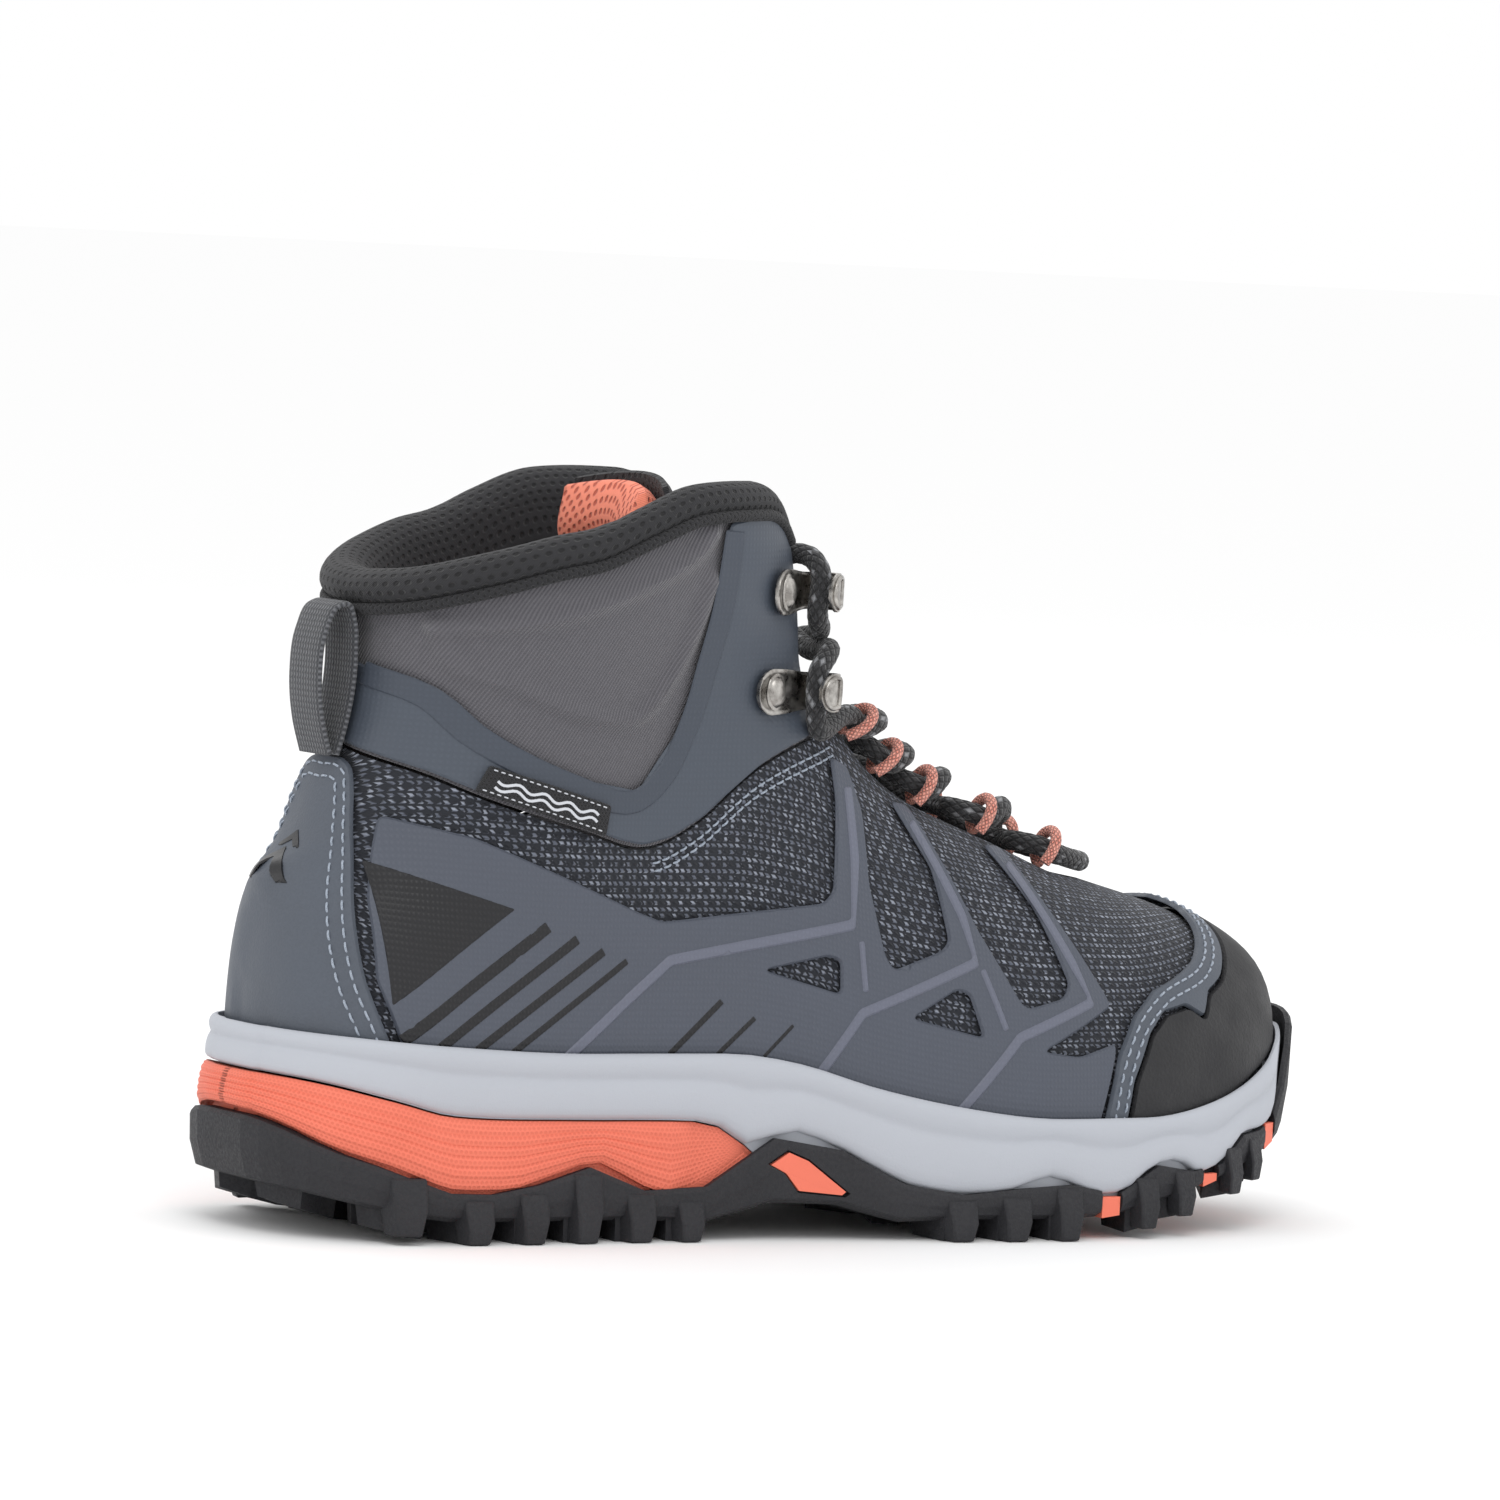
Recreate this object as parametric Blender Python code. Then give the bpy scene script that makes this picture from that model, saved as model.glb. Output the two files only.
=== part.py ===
"""Mid-cut hiking boot, right foot.

The boot is drawn in millimetres: X runs from heel to toe, Y from the outer
(lateral, negative) side to the inner (medial) side, and Z up from the ground.
One implicit surface is the outside of the upper. Every layer of the upper is
a sheet at its own distance from that surface, and the sole is stacked from
rings that follow its lower edge.
"""
import math

import bmesh
import bpy
import numpy as np
from mathutils import Vector
from mathutils.geometry import delaunay_2d_cdt

# ---------------------------------------------------------------- driving dimensions
MM = 0.001
GAP = 0.35              # clearance between touching pieces

HEEL_X, TOE_X = 12.5, 265.0     # ends of the upper at the sole
WEDGE_X = 117.0                 # front end of the heel wedge
RING_HEEL, RING_TOE = 13, 19    # columns behind and in front of WEDGE_X, each side

LUG_DEPTH = 4.5
SOLE_EDGE = 5.0         # how far the sole stands out from the upper
RIM_GAP = 2.8           # from the upper to the inside of the midsole's cup

KNIT = (0.0, -1.1)              # outer and inner distance of each layer
STIFFENER = (-1.5, -2.4)
BOOTIE = (-2.9, -4.3)
OVERLAY = (1.6, 0.85)
FILM = (1.45, 0.95)
CAP = (2.1, 1.1)

EYELET_ALPHA = (45.0, 34.0, 24.5, 16.0, 9.5)    # lace loops, degrees up the throat
HOOK_Z = (115.5, 136.5)
LACE_R = 2.2
LOOP_R = 1.25

for item in list(bpy.data.objects):
    bpy.data.objects.remove(item, do_unlink=True)
bpy.context.scene.unit_settings.system = "METRIC"


# ---------------------------------------------------------------- profiles
def curve(*points, limited=True):
    """A smooth function through (x, y) points; limited keeps it from overshooting them."""
    x, y = np.array(points, float).T
    h = np.diff(x)
    d = np.diff(y) / h
    m = np.concatenate([[d[0]], (d[:-1] * h[1:] + d[1:] * h[:-1]) / (h[:-1] + h[1:]), [d[-1]]])
    if limited:
        most = 3 * np.minimum(np.abs(d[:-1]), np.abs(d[1:])) * (d[:-1] * d[1:] > 0)
        m[1:-1] = np.clip(m[1:-1], -most, most)

    def value(q):
        q = np.clip(np.asarray(q, float), x[0], x[-1])
        i = np.clip(np.searchsorted(x, q, side="right") - 1, 0, len(x) - 2)
        t = (q - x[i]) / h[i]
        return ((2 * t**3 - 3 * t**2 + 1) * y[i] + (t**3 - 2 * t**2 + t) * h[i] * m[i]
                + (3 * t**2 - 2 * t**3) * y[i + 1] + (t**3 - t**2) * h[i] * m[i + 1])

    return value


def rounding(x, start, end, power):
    """1 up to start, then a superellipse quarter down to 0 at end."""
    u = np.clip((np.asarray(x, float) - start) / (end - start), 0, 1)
    return (1 - u**power) ** (1 / power)


# Plan of the last.
centre = curve((0, 0), (60, 0), (120, 0), (180, 3), (230, 7), (262, 9))
lateral = curve((0, 30), (36, 31), (70, 31), (105, 32.5), (140, 38), (170, 43.5), (195, 46), (215, 46), (262, 41))
medial = curve((0, 30), (36, 30.5), (70, 30), (105, 29), (140, 32), (170, 37.5), (195, 40.5), (215, 40), (262, 36))
# Side view of the last: the line where upper meets sole, the instep, and the shaft.
welt = curve((0, 43), (20, 42), (40, 40.5), (75, 39), (105, 39), (122, 37), (140, 32), (160, 28),
             (185, 25.5), (206, 25.5), (225, 28), (245, 34), (262, 42))
instep = curve((0, 70), (60, 90), (100, 108), (122, 112), (135, 107.5), (150, 99.5), (165, 92.5),
               (180, 86.5), (200, 78.5), (220, 73), (240, 70.5), (262, 69))
shaft_back = curve((30, 12.5), (45, 13.5), (60, 15.5), (75, 19.5), (90, 24), (100, 27.5), (112, 30.5),
                   (125, 31), (137, 28.5), (150, 24))
shaft_front = curve((30, 110), (60, 120), (80, 128), (95, 131), (108, 131.5), (120, 131), (132, 130),
                    (145, 128), (160, 124))
shaft_half = curve((30, 30), (50, 31.5), (65, 32.5), (80, 32.5), (100, 32.5), (118, 34), (135, 36.5), (150, 38))
# Heights along the sole.
ground = curve((5, 9), (12, 6.5), (25, 3), (37, 0.5), (45, 0), (100, 0), (104, 1.5), (110, 7), (125, 7.5),
               (143, 5), (154, 0.5), (162, 0), (195, 0), (203, 1.2), (212, 3.5), (222, 5.5), (232, 8),
               (244, 11.5), (255, 17), (265, 24), (274, 33))
lug_height = curve((5, 2.5), (16, LUG_DEPTH), (98, LUG_DEPTH), (108, 0.5), (146, 0.5), (156, LUG_DEPTH),
                   (240, LUG_DEPTH), (255, 2.5), (274, 2))
rubber_edge = curve((5, 25), (9, 27), (14, 24), (20, 19.5), (29, 15.5), (43, 10.5), (53, 10.5), (64, 13.5),
                    (74, 16), (83, 12.5), (92, 9), (101, 11.5), (110, 17.5), (121, 23), (131, 20), (141, 15),
                    (148, 12), (162, 10), (172, 10.5), (182, 13.5), (195, 9.5), (202, 10.5), (208, 15),
                    (215, 16.5), (222, 13.5), (229, 15.5), (236, 21), (246, 22), (251, 26), (257, 39),
                    (262, 45), (274, 47))
wedge_top = curve((5, 34), (16, 33), (29, 29.5), (40, 26.5), (70, 25.5), (100, 25), (107, 22.5), (112, 19),
                  (117, 14.8))
cup_floor = curve((0, 35), (60, 31.5), (105, 30.5), (140, 23.5), (170, 18.5), (200, 17), (225, 20),
                  (245, 25.5), (265, 34))
# Edges on the shaft, by angle from straight ahead round the shaft's axis.
knit_line = curve((18, 108.5), (27, 106), (42, 99), (60, 88), (85, 82), (106, 85), (140, 92), (153, 96), (180, 101))
collar_line = curve((24, 145), (32, 150), (45, 153), (73, 152), (93, 147), (109, 142), (121, 140), (138, 136),
                    (160, 131.5), (180, 130))
eyestay_angle = curve((104, 27.5), (122, 28.5), (134, 26.5), (150, 25.5))
# Half width of the throat, by the angle of throat_point.
throat_half = curve((8, 12.5), (20, 14.5), (35, 16.5), (45, 18.5), (51, 20.5))

SHAFT_AXIS_X = 80.0
THROAT_ORIGIN = np.array([95.0, 0.0, 60.0])
TOE_ORIGIN = np.array([205.0, 4.0, 34.0])
HEEL_ORIGIN_X = 60.0


def slab_bottom(x):
    return ground(x) + lug_height(x)


def tray_floor(x):
    return slab_bottom(x) + curve((5, 3), (240, 3), (255, 2.2), (274, 2))(x)


# ---------------------------------------------------------------- surface of the upper
def ends(x):
    return rounding(-x, -40, -HEEL_X, 2.3) * rounding(x, 205, TOE_X, 2.25)


def body(p):
    """Signed distance, roughly: negative inside the upper, positive outside it."""
    x, y, z = np.moveaxis(np.asarray(p, float), -1, 0)
    middle = centre(x)
    width = np.where(y < middle, lateral(x), medial(x)) * ends(x) + 1e-3
    height = (instep(x) - welt(x)) * rounding(x, 212, TOE_X + 1.5, 2.4) + 1e-3
    across = np.abs(y - middle) / width
    up = np.clip(z - welt(x), 0, None) / height
    foot = ((across**2.5 + up**1.9) ** (1 / 2.2) - 1) * np.minimum(width, height)
    beyond = np.clip(x - TOE_X, 0, None) + np.clip(HEEL_X - x, 0, None)
    foot = np.where(beyond > 0, beyond + 1, np.minimum(foot, 200))
    length = (shaft_front(z) - shaft_back(z)) / 2
    x_middle = (shaft_front(z) + shaft_back(z)) / 2
    half = shaft_half(z)
    shaft = ((np.abs(x - x_middle) / length) ** 2.3 + (np.abs(y) / half) ** 2.3) ** (1 / 2.3) * half - half
    reach = 5 + 17 * np.clip((x - 80) / 50, 0, 1)
    near = np.clip(reach - np.abs(foot - shaft), 0, None) / reach
    return np.minimum(foot, shaft) - near * near * reach / 4


def cast(origin, direction, far=260.0):
    """Where rays from inside the upper leave it."""
    direction = np.asarray(direction, float)
    direction = direction / np.linalg.norm(direction, axis=-1, keepdims=True)
    origin = np.broadcast_to(np.asarray(origin, float), direction.shape)
    low = np.zeros(direction.shape[:-1])
    high = np.broadcast_to(np.asarray(far, float), direction.shape[:-1]).copy()
    for _ in range(34):
        middle = (low + high) / 2
        inside = body(origin + direction * middle[..., None]) < 0
        low = np.where(inside, middle, low)
        high = np.where(inside, high, middle)
    return origin + direction * low[..., None]


def normal(p, step=0.4):
    slope = np.stack([body(p + axis) - body(p - axis) for axis in np.eye(3) * step], -1)
    return slope / np.linalg.norm(slope, axis=-1, keepdims=True)


def lifted(p, distance):
    return p + normal(p) * distance


def shaft_point(angle, z, distance=0.0):
    """angle: degrees from straight ahead, negative on the lateral side."""
    turn = np.radians(angle)
    z = np.broadcast_to(np.asarray(z, float), turn.shape)
    origin = np.stack([np.full(turn.shape, SHAFT_AXIS_X), 0 * turn, z], -1)
    return lifted(cast(origin, np.stack([np.cos(turn), np.sin(turn), 0 * turn], -1)), distance)


def throat_point(alpha, y, distance=0.0):
    """alpha: degrees up from level, seen from THROAT_ORIGIN, in the upright plane at y."""
    turn = np.radians(np.asarray(alpha, float))
    y = np.broadcast_to(np.asarray(y, float), turn.shape)
    origin = np.stack([0 * turn + THROAT_ORIGIN[0], y, 0 * turn + THROAT_ORIGIN[2]], -1)
    return lifted(cast(origin, np.stack([np.cos(turn), 0 * turn, np.sin(turn)], -1)), distance)


def side_point(x, z, side, distance=0.0):
    """The point of one flank at x and z; side is -1 lateral, +1 medial."""
    x = np.asarray(x, float)
    origin = np.stack([x, centre(x), np.asarray(z, float)], -1)
    direction = np.broadcast_to(np.array([0.0, side, 0.0]), origin.shape)
    return lifted(cast(origin, direction), distance)


def heel_point(turn_mm, z, distance=0.0):
    """turn_mm: distance round the heel from its middle, lateral negative."""
    turn = math.pi + np.asarray(turn_mm, float) / 41.0
    origin = np.stack([0 * turn + HEEL_ORIGIN_X, 0 * turn, np.asarray(z, float)], -1)
    return lifted(cast(origin, np.stack([np.cos(turn), -np.sin(turn), 0 * turn], -1)), distance)


def toe_point(turn_mm, rise_mm, distance=0.0):
    """Round the toe and up it, both as distances on a sphere of 50 mm."""
    turn = np.asarray(turn_mm, float) / 50.0
    rise = np.asarray(rise_mm, float) / 50.0
    direction = np.stack([np.cos(rise) * np.cos(turn), np.cos(rise) * np.sin(turn), np.sin(rise)], -1)
    return lifted(cast(TOE_ORIGIN, direction), distance)


# ---------------------------------------------------------------- the ring round the sole
def ring_stations():
    heel = np.linspace(0.2, 1, RING_HEEL, endpoint=False) ** 1.6
    toe = 1 - np.linspace(1, 0.07, RING_TOE + 1) ** 1.35
    return np.concatenate([HEEL_X + (WEDGE_X - HEEL_X) * (1 - np.cos(heel * math.pi / 2)),
                           WEDGE_X + (TOE_X - WEDGE_X) * np.sin(toe * math.pi / 2)])


STATION_X = ring_stations()
COLUMNS = len(STATION_X)


def welt_ring():
    """The foot of the upper: lateral side heel to toe, then the medial side back."""
    loops = []
    for side, half in ((-1, lateral), (1, medial)):
        aim = np.stack([STATION_X, centre(STATION_X) + side * half(STATION_X) * ends(STATION_X),
                        welt(STATION_X) - 2], -1)
        hub = np.clip(STATION_X, 45, 215)
        start = np.stack([hub, centre(hub), aim[:, 2]], -1)
        loops.append(cast(start, aim - start))
    return np.concatenate([loops[0], loops[1][::-1]])


WELT_RING = welt_ring()
RING_X = np.concatenate([STATION_X, STATION_X[::-1]])


def ring_normals(ring):
    along = np.roll(ring[:, :2], -1, 0) - np.roll(ring[:, :2], 1, 0)
    outward = np.stack([along[:, 1], -along[:, 0]], -1)
    return outward / np.linalg.norm(outward, axis=1, keepdims=True)


WELT_NORMAL = ring_normals(WELT_RING)
TOE_BLEND = np.clip((RING_X - 249) / 5, 0, 1)   # 1 where the outsole wraps up over the toe


def sole_ring(distance, z, heel=0.0, toe=0.0):
    """The welt ring moved out by distance, drawn out at the heel and toe, at height z."""
    plan = WELT_RING[:, :2] + WELT_NORMAL * np.reshape(distance, (-1, 1))
    plan[:, 0] -= heel * np.clip(1 - (RING_X - HEEL_X) / 40, 0, 1) ** 2
    plan[:, 0] += toe * np.clip((RING_X - 235) / 30, 0, 1) ** 2
    return np.column_stack([plan, np.broadcast_to(z, RING_X.shape)])


OUTLINE = sole_ring(SOLE_EDGE, 0.0, heel=4.5, toe=2.5)
ORIGIN = np.array([(OUTLINE[:, 0].min() + OUTLINE[:, 0].max()) / 2,
                   (OUTLINE[:, 1].min() + OUTLINE[:, 1].max()) / 2, 0.0])


# ---------------------------------------------------------------- building solids
def material(name, colour, rough, metal=0.0):
    made = bpy.data.materials.get(name) or bpy.data.materials.new(name)
    made.use_nodes = True
    shader = made.node_tree.nodes["Principled BSDF"]
    shader.inputs["Base Color"].default_value = (*colour, 1)
    shader.inputs["Roughness"].default_value = rough
    shader.inputs["Metallic"].default_value = metal
    made.diffuse_color = (*colour, 1)
    return made


RUBBER = material("charcoal rubber", (0.042, 0.042, 0.048), 0.75)
CORAL = material("coral foam", (0.90, 0.26, 0.18), 0.6)
FOAM = material("light grey foam", (0.58, 0.61, 0.67), 0.6)
BOARD = material("board", (0.55, 0.50, 0.42), 0.9)
KNITTED = material("black and grey knit", (0.05, 0.055, 0.07), 0.9)
TWILL = material("grey twill softshell", (0.115, 0.11, 0.125), 0.8)
SMOOTH_FILM = material("blue-grey film", (0.085, 0.105, 0.13), 0.5)
LEATHER = material("blue-grey synthetic leather", (0.095, 0.11, 0.14), 0.55)
BLACK_CAP = material("black synthetic leather", (0.025, 0.025, 0.028), 0.6)
MESH = material("black air mesh", (0.02, 0.02, 0.022), 0.9)
CORAL_MESH = material("coral air mesh", (0.95, 0.32, 0.22), 0.9)
STIFF = material("white thermoplastic", (0.75, 0.75, 0.72), 0.5)
LINING = material("grey lining", (0.30, 0.30, 0.32), 0.9)
WEBBING = material("dark grey webbing", (0.09, 0.095, 0.105), 0.9)
NICKEL = material("antique nickel", (0.36, 0.34, 0.32), 0.35, 1.0)
CORD = material("black flecked cord", (0.02, 0.02, 0.022), 0.8)
CORAL_CORD = material("pale coral cord", (0.86, 0.42, 0.36), 0.7)
PLASTIC = material("black plastic", (0.02, 0.02, 0.02), 0.4)


def finish_mesh(name, mesh, look):
    work = bmesh.new()
    work.from_mesh(mesh)
    bmesh.ops.remove_doubles(work, verts=work.verts, dist=1e-6)
    bmesh.ops.recalc_face_normals(work, faces=work.faces)
    if work.calc_volume(signed=True) < 0:
        bmesh.ops.reverse_faces(work, faces=work.faces)
    work.to_mesh(mesh)
    work.free()
    mesh.materials.append(look)
    mesh.shade_smooth()
    mesh.set_sharp_from_angle(angle=math.radians(40))
    node = bpy.data.objects.new(name, mesh)
    bpy.context.collection.objects.link(node)
    return node


def solid(name, points, faces, look):
    """A closed body from points in boot millimetres."""
    mesh = bpy.data.meshes.new(name)
    mesh.from_pydata(((np.asarray(points) - ORIGIN) * MM).tolist(), [], faces)
    return finish_mesh(name, mesh, look)


def stack(name, rows, look, columns=None):
    """Rings one above another, closed by a cap of cross strips at the bottom and the top.

    columns keeps only the first stations of both sides, counted from the heel."""
    if columns:
        rows = [np.concatenate([row[:columns], row[-columns:]]) for row in rows]
    count = len(rows[0])
    faces = []
    for level in range(len(rows) - 1):
        for k in range(count):
            a = level * count + k
            b = level * count + (k + 1) % count
            faces.append((a, b, b + count, a + count))
    top = (len(rows) - 1) * count
    for k in range(count // 2 - 1):
        other = count - 1 - k
        faces.append((k, k + 1, other - 1, other))
        faces.append((top + k, top + k + 1, top + other - 1, top + other))
    return solid(name, np.concatenate(rows), faces, look)


def sheet(name, outer, inner, look, closed=False):
    """A closed sheet between two grids of points (rows, columns, 3)."""
    rows, columns = outer.shape[:2]
    points = np.concatenate([outer.reshape(-1, 3), inner.reshape(-1, 3)])
    under = rows * columns

    def index(r, c):
        return r * columns + c % columns

    faces = []
    spans = columns if closed else columns - 1
    for r in range(rows - 1):
        for c in range(spans):
            a, b, far, near = index(r, c), index(r, c + 1), index(r + 1, c + 1), index(r + 1, c)
            for triangle in ((a, b, far), (a, far, near)):
                faces.append(triangle)
                faces.append(tuple(q + under for q in triangle[::-1]))
    for r in (0, rows - 1):
        for c in range(spans):
            a, b = index(r, c), index(r, c + 1)
            faces.append((a, b, b + under, a + under))
    if not closed:
        for c in (0, columns - 1):
            for r in range(rows - 1):
                a, b = index(r, c), index(r + 1, c)
                faces.append((a, b, b + under, a + under))
    return solid(name, points, faces, look)


def inside(points, outline):
    """Even-odd test of (n, 2) points against a closed outline."""
    x, y = points[:, 0], points[:, 1]
    found = np.zeros(len(points), bool)
    for (ax, ay), (bx, by) in zip(outline, np.roll(outline, -1, 0)):
        crosses = (ay > y) != (by > y)
        with np.errstate(divide="ignore", invalid="ignore"):
            found ^= crosses & (x < (bx - ax) * (y - ay) / (by - ay) + ax)
    return found


def split_edges(outline, spacing):
    outline = np.array(outline, float)
    pieces = []
    for a, b in zip(outline, np.roll(outline, -1, 0)):
        count = max(1, math.ceil(np.linalg.norm(b - a) / spacing))
        pieces.append(a + (b - a) * np.arange(count)[:, None] / count)
    return np.concatenate(pieces)


def patch(name, outline, place, thickness, look, holes=(), spacing=8.0):
    """A closed sheet over an outline, with holes, in the plane of place(a, b, distance)."""
    loops = [split_edges(loop, spacing) for loop in (outline, *holes)]
    points = np.concatenate(loops)
    edges = []
    start = 0
    for loop in loops:
        edges += [(start + i, start + (i + 1) % len(loop)) for i in range(len(loop))]
        start += len(loop)
    low, high = loops[0].min(0), loops[0].max(0)
    grid = np.stack(np.meshgrid(np.arange(low[0] + spacing / 2, high[0], spacing),
                                np.arange(low[1] + spacing / 2, high[1], spacing)), -1).reshape(-1, 2)
    keep = inside(grid, loops[0])
    for loop in loops[1:]:
        keep &= ~inside(grid, loop)
    for point in points:
        keep &= np.linalg.norm(grid - point, axis=1) > spacing * 0.55
    points = np.concatenate([points, grid[keep]])
    made = delaunay_2d_cdt([Vector(p) for p in points], edges, [], 0, 1e-6)
    flat = np.array([tuple(v) for v in made[0]])
    triangles = np.array([face for face in made[2]])
    middles = flat[triangles].mean(1)
    keep = inside(middles, loops[0])
    for loop in loops[1:]:
        keep &= ~inside(middles, loop)
    triangles = triangles[keep]
    sides = np.concatenate([triangles[:, [0, 1]], triangles[:, [1, 2]], triangles[:, [2, 0]]])
    _, first, count = np.unique(np.sort(sides, 1), axis=0, return_index=True, return_counts=True)
    rims = sides[first[count == 1]]
    under = len(flat)
    faces = [tuple(t) for t in triangles.tolist()]
    faces += [tuple(q + under for q in t[::-1]) for t in triangles.tolist()]
    faces += [(a, b, b + under, a + under) for a, b in rims.tolist()]
    outer = place(flat[:, 0], flat[:, 1], thickness[0])
    inner = place(flat[:, 0], flat[:, 1], thickness[1])
    return solid(name, np.concatenate([outer, inner]), faces, look)


def smooth_route(points, count):
    """count points along a smooth line through the given ones."""
    points = np.array(points, float)
    reach = np.concatenate([[0], np.cumsum(np.linalg.norm(np.diff(points, axis=0), axis=1))])
    fine = np.linspace(0, reach[-1], count * 8)
    track = np.stack([curve(*zip(reach, points[:, i]), limited=False)(fine) for i in range(3)], -1)
    length = np.concatenate([[0], np.cumsum(np.linalg.norm(np.diff(track, axis=0), axis=1))])
    even = np.linspace(0, length[-1], count)
    return np.stack([np.interp(even, length, track[:, i]) for i in range(3)], -1)


def cord(name, route, radius, look, resolution=2):
    data = bpy.data.curves.new(name, "CURVE")
    data.dimensions = "3D"
    data.bevel_depth = radius * MM
    data.bevel_resolution = resolution
    data.use_fill_caps = True
    spline = data.splines.new("POLY")
    spline.points.add(len(route) - 1)
    for point, place in zip(spline.points, (np.asarray(route) - ORIGIN) * MM):
        point.co = (*place, 1)
    data.materials.append(look)
    node = bpy.data.objects.new(name, data)
    bpy.context.collection.objects.link(node)
    return node


def prism(points_low, points_high):
    """Points and faces of a body between two matching polygons."""
    count = len(points_low)
    faces = [tuple(range(count)), tuple(range(2 * count - 1, count - 1, -1))]
    faces += [(i, (i + 1) % count, (i + 1) % count + count, i + count) for i in range(count)]
    return list(points_low) + list(points_high), faces


def boolean(node, other, operation, solver="EXACT"):
    modifier = node.modifiers.new(other.name, "BOOLEAN")
    modifier.operation = operation
    modifier.object = other
    modifier.solver = solver
    other.hide_render = True
    other.display_type = "WIRE"


def hinge_empty(name, place):
    """An empty on a joint's axis, for the pieces that turn about it."""
    empty = bpy.data.objects.new(name, None)
    empty.location = Vector((np.asarray(place) - ORIGIN) * MM)
    empty.empty_display_size = 0.01
    bpy.context.collection.objects.link(empty)
    return empty


def hang(node, empty):
    node.parent = empty
    node.matrix_parent_inverse = empty.matrix_basis.inverted()


# ---------------------------------------------------------------- sole
def edge_half(x, side):
    """Half width of the outsole at x, measured from Y = 0."""
    line = OUTLINE[:COLUMNS] if side < 0 else OUTLINE[COLUMNS:][::-1]
    return abs(np.interp(x, line[:, 0], line[:, 1]))


def lug(x, y, length, width, turn, rise):
    """A tapered block under the sole, turned by an angle about Z."""
    corners = np.array([(-1, -1), (1, -1), (1, 1), (-1, 1)]) * (length / 2, width / 2)
    spin = np.array([(math.cos(turn), -math.sin(turn)), (math.sin(turn), math.cos(turn))])
    foot = corners * 0.86 @ spin.T + (x, y)
    root = corners @ spin.T + (x, y)
    low = np.column_stack([foot, np.maximum(ground(foot[:, 0]), 0)])
    high = np.column_stack([root, slab_bottom(root[:, 0]) + rise])
    return prism(low, high)


def lug_places():
    """Every lug: x, y, length, width, turn and how far it runs up into the slab."""
    places = []
    for side in (-1, 1):
        for x, length, turn in ((30, 10, 0.7), (46, 9, 0.25), (59, 9, 0.08), (72, 9, -0.05), (85, 9, -0.1),
                                (97, 8, -0.15), (160, 9, 0.1), (173, 9, 0.08), (186, 8.5, 0.0),
                                (207, 7.5, -0.12), (217.5, 7.5, -0.25), (234, 7, -0.5), (242.5, 6.5, -0.7)):
            y = side * (edge_half(x, side) - 7.5)
            places.append((x, y, length, 12.5, -side * turn, 1.2))
    for x, y, turn in ((14.5, -12, 1.15), (14.5, 12, -1.15)):
        places.append((x, y, 7.5, 13, -turn + math.pi / 2 if y < 0 else -turn - math.pi / 2, 1.0))
    for x in (34, 50, 66, 82, 164, 179, 210, 236):
        for side in (-1, 1):
            places.append((x, centre(x) + side * 9.5, 6.5, 13.5, side * 0.45, 1.2))
    return places


def outsole():
    floor = tray_floor(RING_X)
    edge = rubber_edge(RING_X)
    rows = [sole_ring(2.0, slab_bottom(RING_X), 1.5, 0.5),
            sole_ring(4.4, slab_bottom(RING_X) + 1.2, 3.0, 1.2),
            sole_ring(SOLE_EDGE, (slab_bottom(RING_X) + edge) / 2, 4.2, 2.2),
            sole_ring(SOLE_EDGE, edge - 1.0, 4.5, 2.5),
            sole_ring(SOLE_EDGE - 0.5, edge, 4.1, 2.2),
            sole_ring(2.9 + 1.1 * TOE_BLEND, edge - 0.1, 2.4, 1.4),
            sole_ring(2.7 + 1.1 * TOE_BLEND, floor, 2.2, 1.4)]
    made = stack("outsole", rows, RUBBER)
    points, faces = [], []
    for place in lug_places():
        lug_points, lug_faces = lug(*place)
        faces += [tuple(i + len(points) for i in face) for face in lug_faces]
        points += lug_points
    boolean(made, solid("lug_blocks", points, faces, RUBBER), "UNION", "MANIFOLD")
    for number, (start, end) in enumerate(FLEX_X, 1):
        boolean(made, flex_cutter(number, start, end), "DIFFERENCE", "MANIFOLD")
    for side, label in ((-1, "lateral"), (1, "medial")):
        boolean(made, arch_window(f"arch_cutter_{label}", side, 0.0, 5.0, RUBBER), "DIFFERENCE", "MANIFOLD")
    return made


FLEX_X = ((194.8, 200.2), (223.6, 228.8), (247.9, 252.8))


def flex_profile(x, reach, wall, floor_gap, bottom, top):
    """A U across the sole at x: a strip under the slab with both ends turned up the edge."""
    out_l, out_m = -edge_half(x, -1) - reach, edge_half(x, 1) + reach
    in_l, in_m = -edge_half(x, -1) + wall, edge_half(x, 1) - wall
    roof = slab_bottom(x) + 1.6 + floor_gap
    return [(x, out_l, bottom), (x, out_m, bottom), (x, out_m, top), (x, in_m, top),
            (x, in_m, roof), (x, in_l, roof), (x, in_l, top), (x, out_l, top)]


def flex_cutter(number, start, end):
    low = flex_profile(start, 8.0, 2.55, 0.0, -8.0, 70.0)
    high = flex_profile(end, 8.0, 2.55, 0.0, -8.0, 70.0)
    return solid(f"flex_cutter_{number}", *prism(low, high), RUBBER)


def flex_insert(number, start, end):
    rows = []
    for x in (start + GAP, end - GAP):
        top = float(min(rubber_edge(start), rubber_edge(end))) - 0.2
        rows.append(flex_profile(x, -0.5, 2.55 - GAP, -GAP, float(slab_bottom(x)) + 0.25, top))
    return solid(f"flex_insert_{number}", *prism(*rows), CORAL)


ARCH_WINDOW = ((114.5, 16.5), (119, 19.5), (124, 17.5), (134, 10.2), (133, 9.4), (122, 10.4), (118.5, 14.5))


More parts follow.
